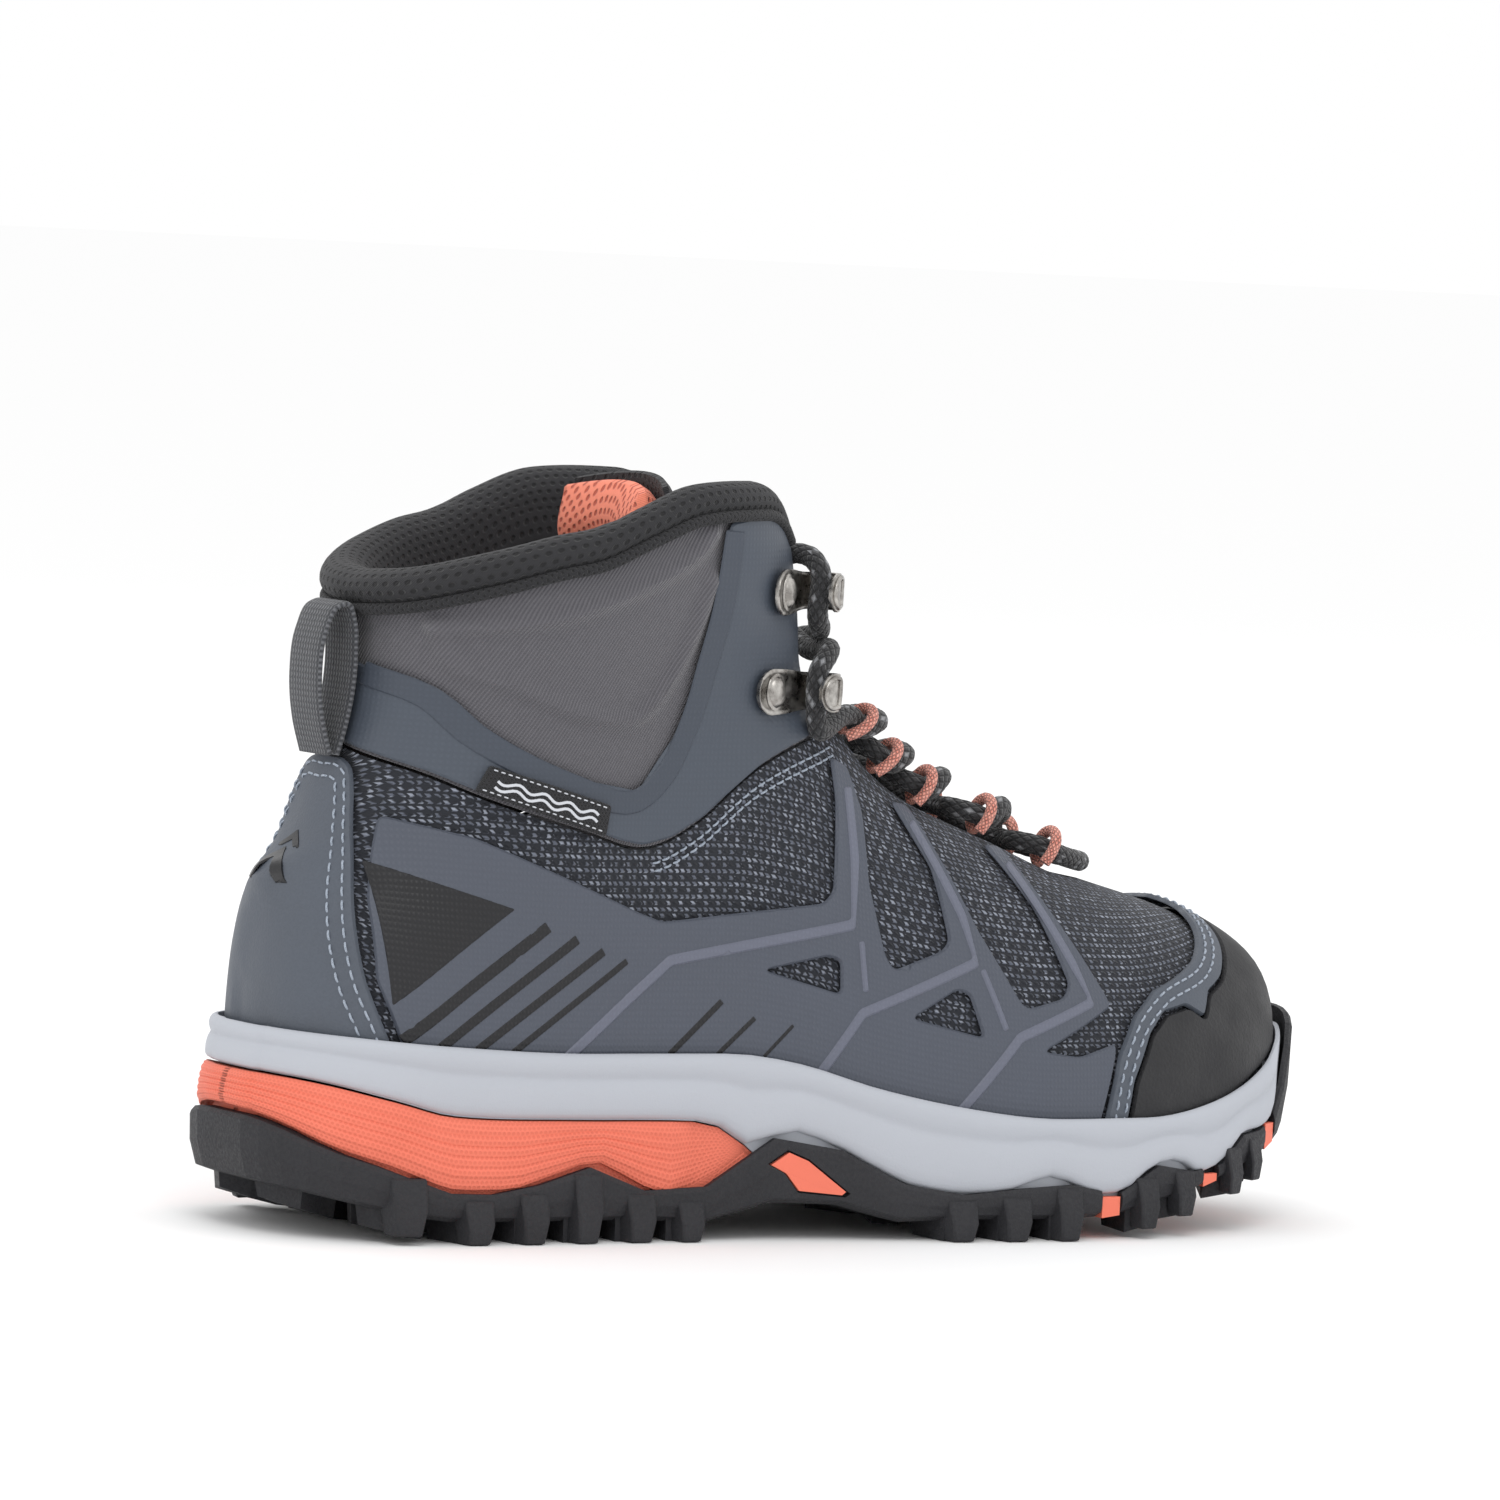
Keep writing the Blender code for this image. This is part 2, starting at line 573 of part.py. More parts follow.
def arch_window(name, side, shrink, reach, look):
    outline = np.array(ARCH_WINDOW)
    middle = outline.mean(0)
    outline = middle + (outline - middle) * (1 - shrink)
    depth = 1.6 - (GAP if shrink else 0)
    inner = [(x, side * (edge_half(x, side) - depth), z) for x, z in outline]
    outer = [(x, side * (edge_half(x, side) + reach), z) for x, z in outline]
    return solid(name, *prism(inner, outer), look)


def heel_wedge():
    top = wedge_top(RING_X)
    step = np.minimum(rubber_edge(RING_X) + 0.9, top - 0.9)
    out = np.where(RING_X < 95, 4.3, 2.3)
    rows = [sole_ring(2.3, tray_floor(RING_X) + GAP, 1.8, 0),
            sole_ring(2.3, step, 1.8, 0),
            sole_ring(out, step + 0.1, np.where(RING_X < 95, 3.4, 1.8), 0),
            sole_ring(out + 0.2 * (out > 3), (step + top) / 2, np.where(RING_X < 95, 3.0, 1.8), 0),
            sole_ring(out - 0.3 * (out > 3), top, np.where(RING_X < 95, 2.2, 1.8), 0)]
    return stack("heel_wedge", rows, CORAL, columns=RING_HEEL + 1)


def midsole():
    behind = RING_X <= WEDGE_X + 0.01
    bottom = np.where(behind, wedge_top(RING_X), tray_floor(RING_X)) + GAP
    rim = welt(RING_X) + 0.6
    edge = np.where(behind & (RING_X < 103), bottom + 0.1, rubber_edge(RING_X) + 0.8)
    edge = np.clip(edge, bottom + 0.1, rim - 0.9)
    low = np.where(RING_X < 103, 4.0, 2.3 + 1.1 * TOE_BLEND)
    out = 4.3 - 0.9 * TOE_BLEND
    inner = RIM_GAP - 0.3 * TOE_BLEND
    rows = [sole_ring(low, bottom, 1.6, 0.6),
            sole_ring(low, edge, 1.6, 0.6),
            sole_ring(out, edge + 0.15, 2.0, 0.6),
            sole_ring(out + 0.2, edge + (rim - edge) * 0.45, 1.2, 0.6),
            sole_ring(out - 0.1, edge + (rim - edge) * 0.8, 0.6, 0.6),
            sole_ring(out - 0.9 + 0.5 * TOE_BLEND, rim, 0.4, 0.5),
            sole_ring(inner, rim - 0.1, 0.9, 0.3),
            sole_ring(inner, cup_floor(RING_X), 0.9, 0.3)]
    return stack("midsole", rows, FOAM)


def shank():
    """A stiff plate let into the top of the midsole under the lasting board."""
    x = np.linspace(72, 168, 9)
    half = 13 - 4 * np.sin((x - 72) / 96 * math.pi)
    corners = []
    for z_shift in (-2.0, -GAP):
        row = [(a, -b, cup_floor(a) + z_shift) for a, b in zip(x, half)]
        row += [(a, b, cup_floor(a) + z_shift) for a, b in zip(x[::-1], half[::-1])]
        corners.append(row)
    return corners


def shank_node():
    low, high = shank()
    count = len(low)
    faces = [(i, (i + 1) % count, (i + 1) % count + count, i + count) for i in range(count)]
    for i in range(count // 2 - 1):
        other = count - 1 - i
        faces += [(i, i + 1, other - 1, other), (count + i, count + i + 1, count + other - 1, count + other)]
    return solid("shank", low + high, faces, STIFF)


def shank_cutter():
    x = np.linspace(72 - GAP, 168 + GAP, 9)
    half = 13 + GAP - 4 * np.sin((x - 72) / 96 * math.pi).clip(0, 1)
    low = [(a, -b, cup_floor(a) - 2.0 - GAP) for a, b in zip(x, half)]
    low += [(a, b, cup_floor(a) - 2.0 - GAP) for a, b in zip(x[::-1], half[::-1])]
    high = [(a, b, c + 5.0) for a, b, c in low]
    count = len(low)
    faces = [(i, (i + 1) % count, (i + 1) % count + count, i + count) for i in range(count)]
    for i in range(count // 2 - 1):
        other = count - 1 - i
        faces += [(i, i + 1, other - 1, other), (count + i, count + i + 1, count + other - 1, count + other)]
    return solid("shank_cutter", low + high, faces, STIFF)


def insole_slab(name, inset, low, high, look):
    rows = [sole_ring(-inset - 0.3, cup_floor(RING_X) + low), sole_ring(-inset, cup_floor(RING_X) + high)]
    return stack(name, rows, look)


FOOTBED_AXIS = np.array([246.0, 0.0, 28.5])


def build_sole():
    outsole()
    for number, (start, end) in enumerate(FLEX_X, 1):
        flex_insert(number, start, end)
    for side, label in ((-1, "lateral"), (1, "medial")):
        arch_window(f"arch_insert_{label}", side, 0.11, -0.25, CORAL)
    heel_wedge()
    middle = midsole()
    shank_node()
    boolean(middle, shank_cutter(), "DIFFERENCE")
    insole_slab("lasting_board", 1.7, GAP, 2.0, BOARD)
    axis = hinge_empty("footbed_axis", FOOTBED_AXIS)
    for node in (insole_slab("footbed_foam", 6.2, 2.5, 6.2, CORAL),
                 insole_slab("footbed_cover", 6.2, 6.5, 7.5, LINING)):
        hang(node, axis)


# ---------------------------------------------------------------- layers of the upper
def wall_grid(top_edge, rows, foot_lift):
    """Points of the upper from the cup floor to a top edge given for each column."""
    hub_x = np.clip((RING_X + top_edge[:, 0]) / 2, 62, 205)
    hub_z = curve((12, 75), (62, 75), (125, 60), (205, 42), (265, 42))(hub_x)
    hub = np.stack([hub_x, centre(hub_x), hub_z], -1)
    start = WELT_RING - hub
    finish = top_edge - hub
    start_unit = start / np.linalg.norm(start, axis=1, keepdims=True)
    finish_unit = finish / np.linalg.norm(finish, axis=1, keepdims=True)
    between = np.arccos(np.clip((start_unit * finish_unit).sum(1), -1, 1))[:, None]
    low = WELT_RING.copy()
    low[:, 2] = cup_floor(RING_X) + foot_lift
    grid = [low]
    for t in np.linspace(0, 1, rows):
        way = (np.sin((1 - t) * between) * start_unit + np.sin(t * between) * finish_unit) / np.sin(between)
        reach = np.linalg.norm(np.where(t > 0.5, finish, start), axis=1) * 1.25 + 6
        grid.append(cast(hub, way, reach))
    return np.array(grid)


def grid_offset(grid, distance):
    """The grid moved out from the surface; its foot moves level, in line with the ring."""
    moved = lifted(grid, distance)
    moved[0, :, :2] = WELT_RING[:, :2] + WELT_NORMAL * distance
    moved[0, :, 2] = grid[0, :, 2]
    return moved


def mirrored(lateral_edge, medial_edge):
    return np.concatenate([lateral_edge, medial_edge[::-1]])


def edge_path(shaft_columns, front_columns, throat_columns, line_of, front_low, front_high):
    """Top edge of a layer on both sides: round the shaft, down its front, then along the throat."""
    halves = []
    toe_columns = COLUMNS - shaft_columns - front_columns - throat_columns
    for side in (-1, 1):
        angle = np.linspace(179.2, 28, shaft_columns)
        shaft = shaft_point(side * angle, line_of(angle))
        front_z = np.linspace(front_high, front_low, front_columns + 1)[1:]
        front_angle = eyestay_angle(front_z) if front_high > 120 else np.linspace(26, 22, front_columns)
        front = shaft_point(side * front_angle, front_z)
        ridge = np.linspace(140, 203.5, throat_columns)
        alpha = np.degrees(np.arctan2(instep(ridge) - THROAT_ORIGIN[2], ridge - THROAT_ORIGIN[0]))
        throat = throat_point(alpha, side * throat_half(alpha))
        swing = np.linspace(0.15, 0.97, toe_columns) * math.pi / 2
        bend_alpha = alpha[-1] - 2.4 * np.sin(swing)
        bend = throat_point(bend_alpha, side * throat_half(alpha[-1]) * np.cos(swing) + 1.5 * np.sin(swing))
        halves.append(np.concatenate([shaft, front, throat, bend]))
    return mirrored(*halves)


def foot_layers():
    """The knit, the lining inside it and the two stiffeners between them, on one grid."""
    grid = wall_grid(edge_path(14, 2, 11, knit_line, 108.5, 106.5), 7, 0.5)
    raised = grid.copy()
    raised[0, :, 2] += 2.2
    heel = np.concatenate([grid[1:6, -9:], grid[1:6, :9]], 1)
    toe = grid[1:5, COLUMNS - 8:COLUMNS + 8]
    sheet("knit_upper", grid_offset(grid, KNIT[0]), grid_offset(grid, KNIT[1]), KNITTED, closed=True)
    sheet("inner_bootie", grid_offset(raised, BOOTIE[0]), grid_offset(raised, BOOTIE[1]), LINING, closed=True)
    for name, part in (("heel_counter", heel), ("toe_puff", toe)):
        sheet(name, lifted(part, STIFFENER[0]), lifted(part, STIFFENER[1]), STIFF)


def ankle_panel(side, label):
    """The padded softshell quarter above the knit."""
    rows = []
    across = np.linspace(0, 1, 18)
    for t in np.linspace(0, 1, 6):
        angle = 179.6 - (179.6 - 28.0) * across
        z = (knit_line(angle) + 0.7) * (1 - t) + collar_line(angle) * t
        angle = 179.6 - (179.6 - eyestay_angle(z)) * across
        z = (knit_line(angle) + 0.7) * (1 - t) + collar_line(angle) * t
        rows.append(shaft_point(side * angle, z))
    grid = np.array(rows)
    sheet(f"ankle_panel_{label}", lifted(grid, KNIT[0]), lifted(grid, KNIT[1]), TWILL)


DEGREE = 0.6            # millimetres of arc to a degree round the shaft, for outlines


def shaft_patch_point(side):
    def place(turn_mm, z, distance):
        return shaft_point(side * turn_mm / DEGREE, z, distance)
    return place


def ankle_film(side, label):
    """The smooth border along the front and foot of the ankle panel."""
    inner = [(179.4, 119), (155, 114), (143, 106.5), (115, 97), (88, 94.5), (72, 108), (67, 125), (62.5, 151)]
    collar = [(a, float(collar_line(a)) - 0.8) for a in (50, 40, 32)]
    front = [(float(eyestay_angle(z)) + 0.4, z) for z in (146, 135, 122, 110)]
    foot = [(a, float(knit_line(a)) + 1.2) for a in (29, 42, 60, 85, 106, 140, 153, 179.4)]
    outline = [(a * DEGREE, z) for a, z in inner + collar + front + foot]
    patch(f"ankle_film_{label}", outline, shaft_patch_point(side), FILM, SMOOTH_FILM)


def overlay(side, label):
    """The welded film over the flank: a base with three fingers and two windows."""
    top = [(24.9, 54), (24.9, 70), (28.8, 87.5), (45, 84), (83, 69), (89, 67), (128, 71), (130.5, 73.5),
           (132.5, 93), (134, 98.5), (139, 96.5), (140, 90), (140, 75), (143, 60), (145, 57), (157, 61),
           (159, 63), (158, 78), (154.5, 86), (158, 84.5), (161, 78), (167, 65), (176, 50), (178, 49),
           (187, 51), (189, 54), (184.5, 69), (181, 75), (184.5, 74), (187, 69), (199, 51), (199.5, 49),
           (181, 40), (190, 38.8), (200, 41.5), (199.8, 39), (195.5, 25)]
    foot = [(x, float(welt(x)) - 4) for x in (195, 170, 150, 130, 110, 85, 60, 40)]
    outline = [*top, *foot, (31, 37)]
    holes = [[(114, 57), (129, 60), (132, 59), (132, 52)], [(149, 47), (160, 53), (163, 52), (166, 43)]]

    def place(x, z, distance):
        return side_point(x, z, side, distance)
    patch(f"overlay_{label}", outline, place, OVERLAY, SMOOTH_FILM, holes, spacing=7.5)


def toe_foot(turn):
    """How high on the toe's sphere the sole's cup starts, at a turn in degrees."""
    return curve((0, 7), (30, 1.5), (60, -8.5), (80, -13), (92, -14.5), (101, -15.5))(np.abs(turn))


CAP_EDGE = ((0, 40), (20, 35), (44, 24), (54, 21.5), (60, 15), (66, 19), (76, 17.5), (83, 12), (90, -1), (92.5, -13))
RAND_EDGE = ((101, -13), (96, 6.5), (89, 17.6), (79, 25), (53, 32), (25, 43), (0, 48))
DEGREE_TOE = 50 * math.pi / 180


def toe_cap():
    edge = [(-a, b) for a, b in CAP_EDGE[:0:-1]] + list(CAP_EDGE)
    foot = [(a, float(toe_foot(a)) + 1) for a in (80, 60, 40, 20, 0, -20, -40, -60, -80)]
    patch("toe_cap", [(a * DEGREE_TOE, b * DEGREE_TOE) for a, b in edge + foot], toe_point, CAP, BLACK_CAP)


def toe_rand():
    outer = [(a, b) for a, b in RAND_EDGE] + [(-a, b) for a, b in RAND_EDGE[-2::-1]]
    inner = [(-a, b) for a, b in CAP_EDGE[:0:-1]] + list(CAP_EDGE)
    shifted = []
    for a, b in inner:
        lift = 1.0 if b > 14 else 0.2
        away = 0.9 if abs(a) > 60 else 0.0
        shifted.append((a + math.copysign(away, a), b + lift))
    shifted[0] = (-93.6, -13.0)
    shifted[-1] = (93.6, -13.0)
    patch("toe_rand", [(a * DEGREE_TOE, b * DEGREE_TOE) for a, b in outer + shifted], toe_point,
          CAP, LEATHER, spacing=6.0)


def heel_cap():
    half = [(0, 98.3), (9, 98.3), (15, 96.5), (18.3, 92), (22.5, 81), (27, 70), (34, 54), (41, 42), (42.5, 37.8)]
    foot = [(20, 38.6), (0, 39.2), (-20, 38.6)]
    outline = half + foot + [(-a, z) for a, z in half[:0:-1]]
    degree = 41 * math.pi / 180
    patch("heel_cap", [(a * degree, z) for a, z in outline], heel_point, CAP, LEATHER, spacing=6.2)


def side_label():
    def place(x, z, distance):
        return side_point(x, z, -1, distance)
    patch("side_label", [(48, 99), (74, 91.5), (73, 85), (45, 93.5)], place, (2.9, 2.2), PLASTIC)


# Section of the collar: distance from the surface, rise over the collar line, and how far the
# point has moved down towards the foot of the lining, where 1 is just above the knit.
COLLAR_SECTION = ((0.9, 0.5, 0), (2.0, 2.6, 0), (1.2, 5.2, 0), (-1.5, 6.8, 0), (-5.0, 6.4, 0), (-8.0, 3.8, 0),
                  (-9.4, -1.5, 0), (-9.0, 0, 0.33), (-6.8, 0, 0.7), (-4.6, 0, 1), (-2.2, 0, 1), (-2.1, 0, 0.66),
                  (-2.1, 0, 0.33), (-1.9, 0.3, 0))


def collar():
    """The rolled padded collar and the padded lining below it, down to the top of the knit."""
    angle = np.concatenate([np.linspace(-27, -60, 5), np.linspace(-70, -290, 21), np.linspace(-300, -333, 5)])
    apart = np.where(angle < -180, angle + 360, angle)
    line = collar_line(np.abs(apart))
    foot = knit_line(np.abs(apart)) + 1.5
    taper = curve((27, 0.3), (46, 1), (180, 1))(np.abs(apart))
    rings = []
    for out, rise, down in COLLAR_SECTION:
        depth = out if out > -1.8 else -1.8 + (out + 1.8) * taper[:, None]
        rings.append(shaft_point(apart, (line + rise) * (1 - down) + foot * down, depth))
    rings = np.stack(rings, 1)
    count, around = rings.shape[:2]
    faces = [(c * around + s, c * around + (s + 1) % around, (c + 1) * around + (s + 1) % around,
              (c + 1) * around + s) for c in range(count - 1) for s in range(around)]
    faces += [tuple(range(around)), tuple(range((count - 1) * around, count * around))]
    solid("collar_padding", rings.reshape(-1, 3), faces, MESH)


# ---------------------------------------------------------------- tongue
TONGUE_LINE = ((213, 70), (200, 75.2), (180, 83.3), (165, 89.3), (150, 96.2), (138, 102.6), (127.5, 112),
               (118.5, 124), (111, 137), (104.5, 150), (99.5, 160.5))
TONGUE_AXIS = np.array([213.0, 0.0, 67.0])


def tongue_face(rows, across):
    """The outer face of the tongue, kept 5 mm inside the upper's surface."""
    line = smooth_route([(x, 0, z) for x, z in TONGUE_LINE], rows)
    along = np.gradient(line, axis=0)
    along /= np.linalg.norm(along, axis=1, keepdims=True)
    up = np.stack([along[:, 2], 0 * along[:, 0], -along[:, 0]], -1)
    travel = np.linspace(0, 1, rows)
    half = curve((0, 12), (0.15, 17), (0.35, 20), (0.6, 19), (0.8, 21), (0.93, 23), (1, 19))(travel)
    radius = curve((0, 26), (0.4, 24), (0.6, 25), (1, 32))(travel)
    y = np.linspace(-1, 1, across) * half[:, None]
    face = line[:, None] - up[:, None] * (y**2 / 2 / radius[:, None])[..., None]
    face[..., 1] += y + (centre(line[:, 0]) * (1 - travel))[:, None]
    over = np.clip(body(face) + 5.0, 0, None)
    return face - normal(face) * over[..., None]


def tongue():
    rows, across = 14, 9
    travel = np.linspace(0, 1, rows)[:, None, None]
    face = tongue_face(rows, across)
    inward = np.cross(np.gradient(face, axis=0), np.gradient(face, axis=1))
    inward /= np.linalg.norm(inward, axis=-1, keepdims=True)
    skin = curve((0, 2.0), (0.3, 3.0), (1, 3.2))(travel)
    puff = curve((0, 1.2), (0.3, 2.0), (0.8, 3.5), (0.95, 3.8), (1, 2.0))(travel)
    axis = hinge_empty("tongue_axis", TONGUE_AXIS)
    back = face + inward * skin
    front = face + inward * (skin + GAP)
    hang(sheet("tongue", face, back, MESH), axis)
    hang(sheet("tongue_lining", front, front + inward * puff, CORAL_MESH), axis)


# ---------------------------------------------------------------- pull loop, hooks, lace
PULL_AXIS = np.array([23.4, 0.0, 99.2])
PULL_ROUTE = ((22.5, 99.2), (20.4, 106), (19.2, 116), (20.2, 125), (22.8, 130), (25.2, 130.6), (26.8, 127.5),
              (27.5, 121), (27.2, 113), (25.8, 105), (24.2, 99.2))


def ribbon(name, route, widths, thick, look):
    """A strap in the X-Z plane, swept along a route; widths are its half widths in Y."""
    along = np.gradient(route, axis=0)
    along /= np.linalg.norm(along, axis=1, keepdims=True)
    out = np.stack([along[:, 2], 0 * along[:, 0], -along[:, 0]], -1)
    points = []
    for place, up, half in zip(route, out, widths):
        for side, face in ((-1, -1), (1, -1), (1, 1), (-1, 1)):
            points.append(place + up * face * thick / 2 + np.array([0, side * half, 0]))
    count = len(route)
    faces = [(4 * r + s, 4 * r + (s + 1) % 4, 4 * r + 4 + (s + 1) % 4, 4 * r + 4 + s)
             for r in range(count - 1) for s in range(4)]
    faces += [(0, 1, 2, 3), tuple(4 * count - 4 + s for s in range(4))]
    return solid(name, points, faces, look)


def pull_loop():
    route = smooth_route([(x, 0, z) for x, z in PULL_ROUTE], 24)
    hang(ribbon("pull_loop", route, np.full(24, 6.5), 1.2, WEBBING), hinge_empty("pull_loop_axis", PULL_AXIS))


def hook_frame(side, z):
    """Origin at the rivet, then unit vectors forward, outward and up along the eyestay."""
    place = shaft_point(np.array([side * (float(eyestay_angle(z)) + 11.5)]), np.array([z]), FILM[0])[0]
    ahead = shaft_point(np.array([side * float(eyestay_angle(z))]), np.array([z]), FILM[0])[0]
    forward = (ahead - place) / np.linalg.norm(ahead - place)
    up = np.array([0.0, 0.0, 1.0])
    out = np.cross(up, forward) * side
    return place, forward, out, up


HOOK_PLATE = 1.3        # the plate's middle above the film
HOOK_BEND = ((-6.0, 0), (0, 0), (7.5, 0), (10.8, 0.3), (13.0, 1.9), (13.6, 4.3), (12.8, 6.7), (10.8, 7.9),
             (8.4, 8.2), (6.8, 7.7))
HOOK_HALF = (2.6, 5.2, 4.4, 3.9, 3.8, 3.8, 3.9, 4.1, 3.6, 2.0)


def lace_hook(side, label, number, z):
    place, forward, out, up = hook_frame(side, z)
    route = np.array([place + forward * a + out * (b + HOOK_PLATE) for a, b in HOOK_BEND])
    along = np.gradient(route, axis=0)
    along /= np.linalg.norm(along, axis=1, keepdims=True)
    points = []
    for spot, way, half in zip(route, along, HOOK_HALF):
        face = np.cross(way, up)
        for across, over in ((-1, -1), (1, -1), (1, 1), (-1, 1)):
            points.append(spot + up * across * half + face * over * 0.45)
    count = len(route)
    faces = [(4 * r + s, 4 * r + (s + 1) % 4, 4 * r + 4 + (s + 1) % 4, 4 * r + 4 + s)
             for r in range(count - 1) for s in range(4)]
    faces += [(0, 1, 2, 3), tuple(4 * count - 4 + s for s in range(4))]
    solid(f"lace_hook_{label}_{number}", points, faces, NICKEL)
    rivet(f"hook_rivet_{label}_{number}", place + out * (HOOK_PLATE + 0.45 + 0.3), out, up)


def rivet(name, place, out, up):
    """A domed rivet head standing on the hook's plate."""
    side = np.cross(out, up)
    points, sides = [], 12
    profile = ((2.9, 0.0), (2.9, 0.4), (2.3, 1.0), (1.2, 1.35))
    for radius, rise in profile:
        for k in range(sides):
            turn = 2 * math.pi * k / sides
            points.append(place + out * rise + (side * math.cos(turn) + up * math.sin(turn)) * radius)
    faces = [tuple(range(sides)), tuple(range(len(points) - sides, len(points)))]
    for level in range(len(profile) - 1):
        for k in range(sides):
            a, b = level * sides + k, level * sides + (k + 1) % sides
            faces.append((a, b, b + sides, a + sides))
    solid(name, points, faces, NICKEL)


def edge_point(alpha, side, along, beyond, lift):
    """A point by the throat's edge: millimetres up along it, outward over the knit, and off the surface."""
    low, place, high = throat_point([alpha - 1, alpha, alpha + 1], side * throat_half([alpha - 1, alpha, alpha + 1]))
    forward = (high - low) / np.linalg.norm(high - low)
    up = normal(place)
    outward = np.cross(forward, up)
    outward *= side * np.sign(outward[1]) / np.linalg.norm(outward)
    return place + forward * along + outward * beyond + up * lift


LACE_BEYOND, LACE_LIFT = -2.3, 3.9      # the lace's middle where it runs through a loop


def lace_loop(side, label, number, alpha):
    """A cord that starts on the knit, arches over the lace and ends under it."""
    route = [edge_point(alpha, side, 1.8, 2.4, 1.75)]
    for step, turn in enumerate(np.radians(np.linspace(8, 260, 8))):
        beyond = LACE_BEYOND + 4.1 * math.cos(turn)
        route.append(edge_point(alpha, side, 1.1 - 0.3 * step, beyond, LACE_LIFT + 4.1 * math.sin(turn)))
    cord(f"lace_loop_{label}_{number}", route, LOOP_R, CORAL_CORD)


def lace_over_throat(side):
    """From the top loop of one side down the throat to the lowest loop, crossing at each step."""
    over = side < 0
    route = []
    for number, alpha in enumerate(EYELET_ALPHA):
        if number:
            route.append(edge_point(alpha, side, 5.2, -5.8, 6.6 if over else 2.2))
            over = not over
        route += [edge_point(alpha, side, shift, LACE_BEYOND, LACE_LIFT) for shift in (1.7, -1.7)]
        if number == len(EYELET_ALPHA) - 1:
            return route
        route.append(edge_point(alpha, side, -5.2, -5.8, 6.6 if over else 2.2))
        lower = EYELET_ALPHA[number + 1]
        for part in (0.3, 0.7):
            y = side * (throat_half(alpha) - 5.8) * (1 - 2 * part)
            between = alpha + (lower - alpha) * (0.5 + (part - 0.5) * 0.5)
            route.append(throat_point(between, y, 6.9 if over else 1.7))
        side = -side
    return route


# Where the lace runs at the hooks: forward, outward and up from a rivet.
HOOK_PASS = ((10.0, 5.0, 4.7), (10.0, 5.0, -4.7))
LACE_TUCK = ((12.2, 1.6, 7.2), (13.0, -2.6, 7.4), (13.0, -6.2, 4.6), (13.0, -7.6, 0.8))


def hook_points(side, level, places):
    place, forward, out, up = hook_frame(side, HOOK_Z[level])
    return [place + forward * a + out * b + up * c for a, b, c in places]


def lace_over_ankle(side):
    """From the end tucked behind one eyestay, through that side's upper hook and the other side's
    lower hook, to the top loop below it."""
    if side < 0:
        bridge = [(138.5, -10, 128.8), (143.5, -1, 126.4), (140.5, 9.5, 124.4)]
    else:
        bridge = [(135.0, 10, 129.0), (138.0, 1, 126.2), (136.0, -10, 123.6)]
    return (hook_points(side, 1, LACE_TUCK[::-1] + HOOK_PASS + ((13.2, 4.3, -7.3),))
            + [np.array(p) for p in bridge]
            + hook_points(-side, 0, ((13.2, 4.3, 7.3), HOOK_PASS[0], (10.0, 4.7, -4.2), (11.2, 4.2, -7.0))))


def lace():
    """One lace, from the end tucked at the lateral side to the one tucked at the medial side."""
    down = lace_over_ankle(-1) + lace_over_throat(1)
    up = lace_over_ankle(1) + lace_over_throat(-1)
    toe_bar = throat_point(EYELET_ALPHA[-1] - 2.6, 0.0, 3.7)
    return down + [toe_bar] + up[::-1]


def build_upper():
    foot_layers()
    for side, label in ((-1, "lateral"), (1, "medial")):
        ankle_panel(side, label)
        ankle_film(side, label)
        overlay(side, label)
    toe_cap()
    toe_rand()
    heel_cap()
    side_label()
    collar()
    tongue()
    pull_loop()


def build_lacing():
    for side, label in ((-1, "lateral"), (1, "medial")):
        for number, alpha in enumerate(EYELET_ALPHA, 1):
            lace_loop(side, label, number, alpha)
        for number, z in enumerate(HOOK_Z, 1):
            lace_hook(side, label, number, z)
    cord("lace", lace(), LACE_R, CORD)


build_sole()
build_upper()
build_lacing()
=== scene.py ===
"""Looks of the mid-cut hiking boot: fabrics, films, stitching, foam, rubber and lacing.

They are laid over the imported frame. Lengths are millimetres in the boot's own axes (X heel to toe,
Y lateral negative to medial, Z up) until piece() places them in the frame.
"""
import math

import bmesh
import bpy
import numpy as np
from mathutils import Matrix, Vector
from mathutils.geometry import delaunay_2d_cdt


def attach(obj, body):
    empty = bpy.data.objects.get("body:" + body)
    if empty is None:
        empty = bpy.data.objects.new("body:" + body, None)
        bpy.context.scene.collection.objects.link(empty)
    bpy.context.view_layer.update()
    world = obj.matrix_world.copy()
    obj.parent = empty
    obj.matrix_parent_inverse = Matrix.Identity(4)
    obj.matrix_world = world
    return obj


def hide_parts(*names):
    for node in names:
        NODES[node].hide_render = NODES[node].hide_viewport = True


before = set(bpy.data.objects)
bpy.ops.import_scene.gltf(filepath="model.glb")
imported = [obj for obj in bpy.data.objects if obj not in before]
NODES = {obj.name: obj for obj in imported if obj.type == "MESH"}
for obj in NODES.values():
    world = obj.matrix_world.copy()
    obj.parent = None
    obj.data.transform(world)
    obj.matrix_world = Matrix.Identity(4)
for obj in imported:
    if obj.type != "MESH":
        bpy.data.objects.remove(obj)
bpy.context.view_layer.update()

MM = 0.001
GAP = 0.35                              # between neighbouring pieces
HEEL_X, TOE_X = 12.5, 265.0             # the ends of the upper
WEDGE_X = 117.0                         # the front end of the heel wedge
HEEL_LEDGE_X = 103.0                    # behind it the midsole stands out over the wedge
WEDGE_LEDGE_X = 95.0                    # behind it the wedge stands out over the outsole
RING_HEEL, RING_TOE = 39, 57            # stations of the sole's rings, on either side of WEDGE_X
LUG_DEPTH = 4.5
SOLE_EDGE = 5.0
RIM_GAP = 2.8
HEEL_RADIUS, TOE_RADIUS = 41.0, 50.0    # of the rounds that heel_point and toe_point measure on
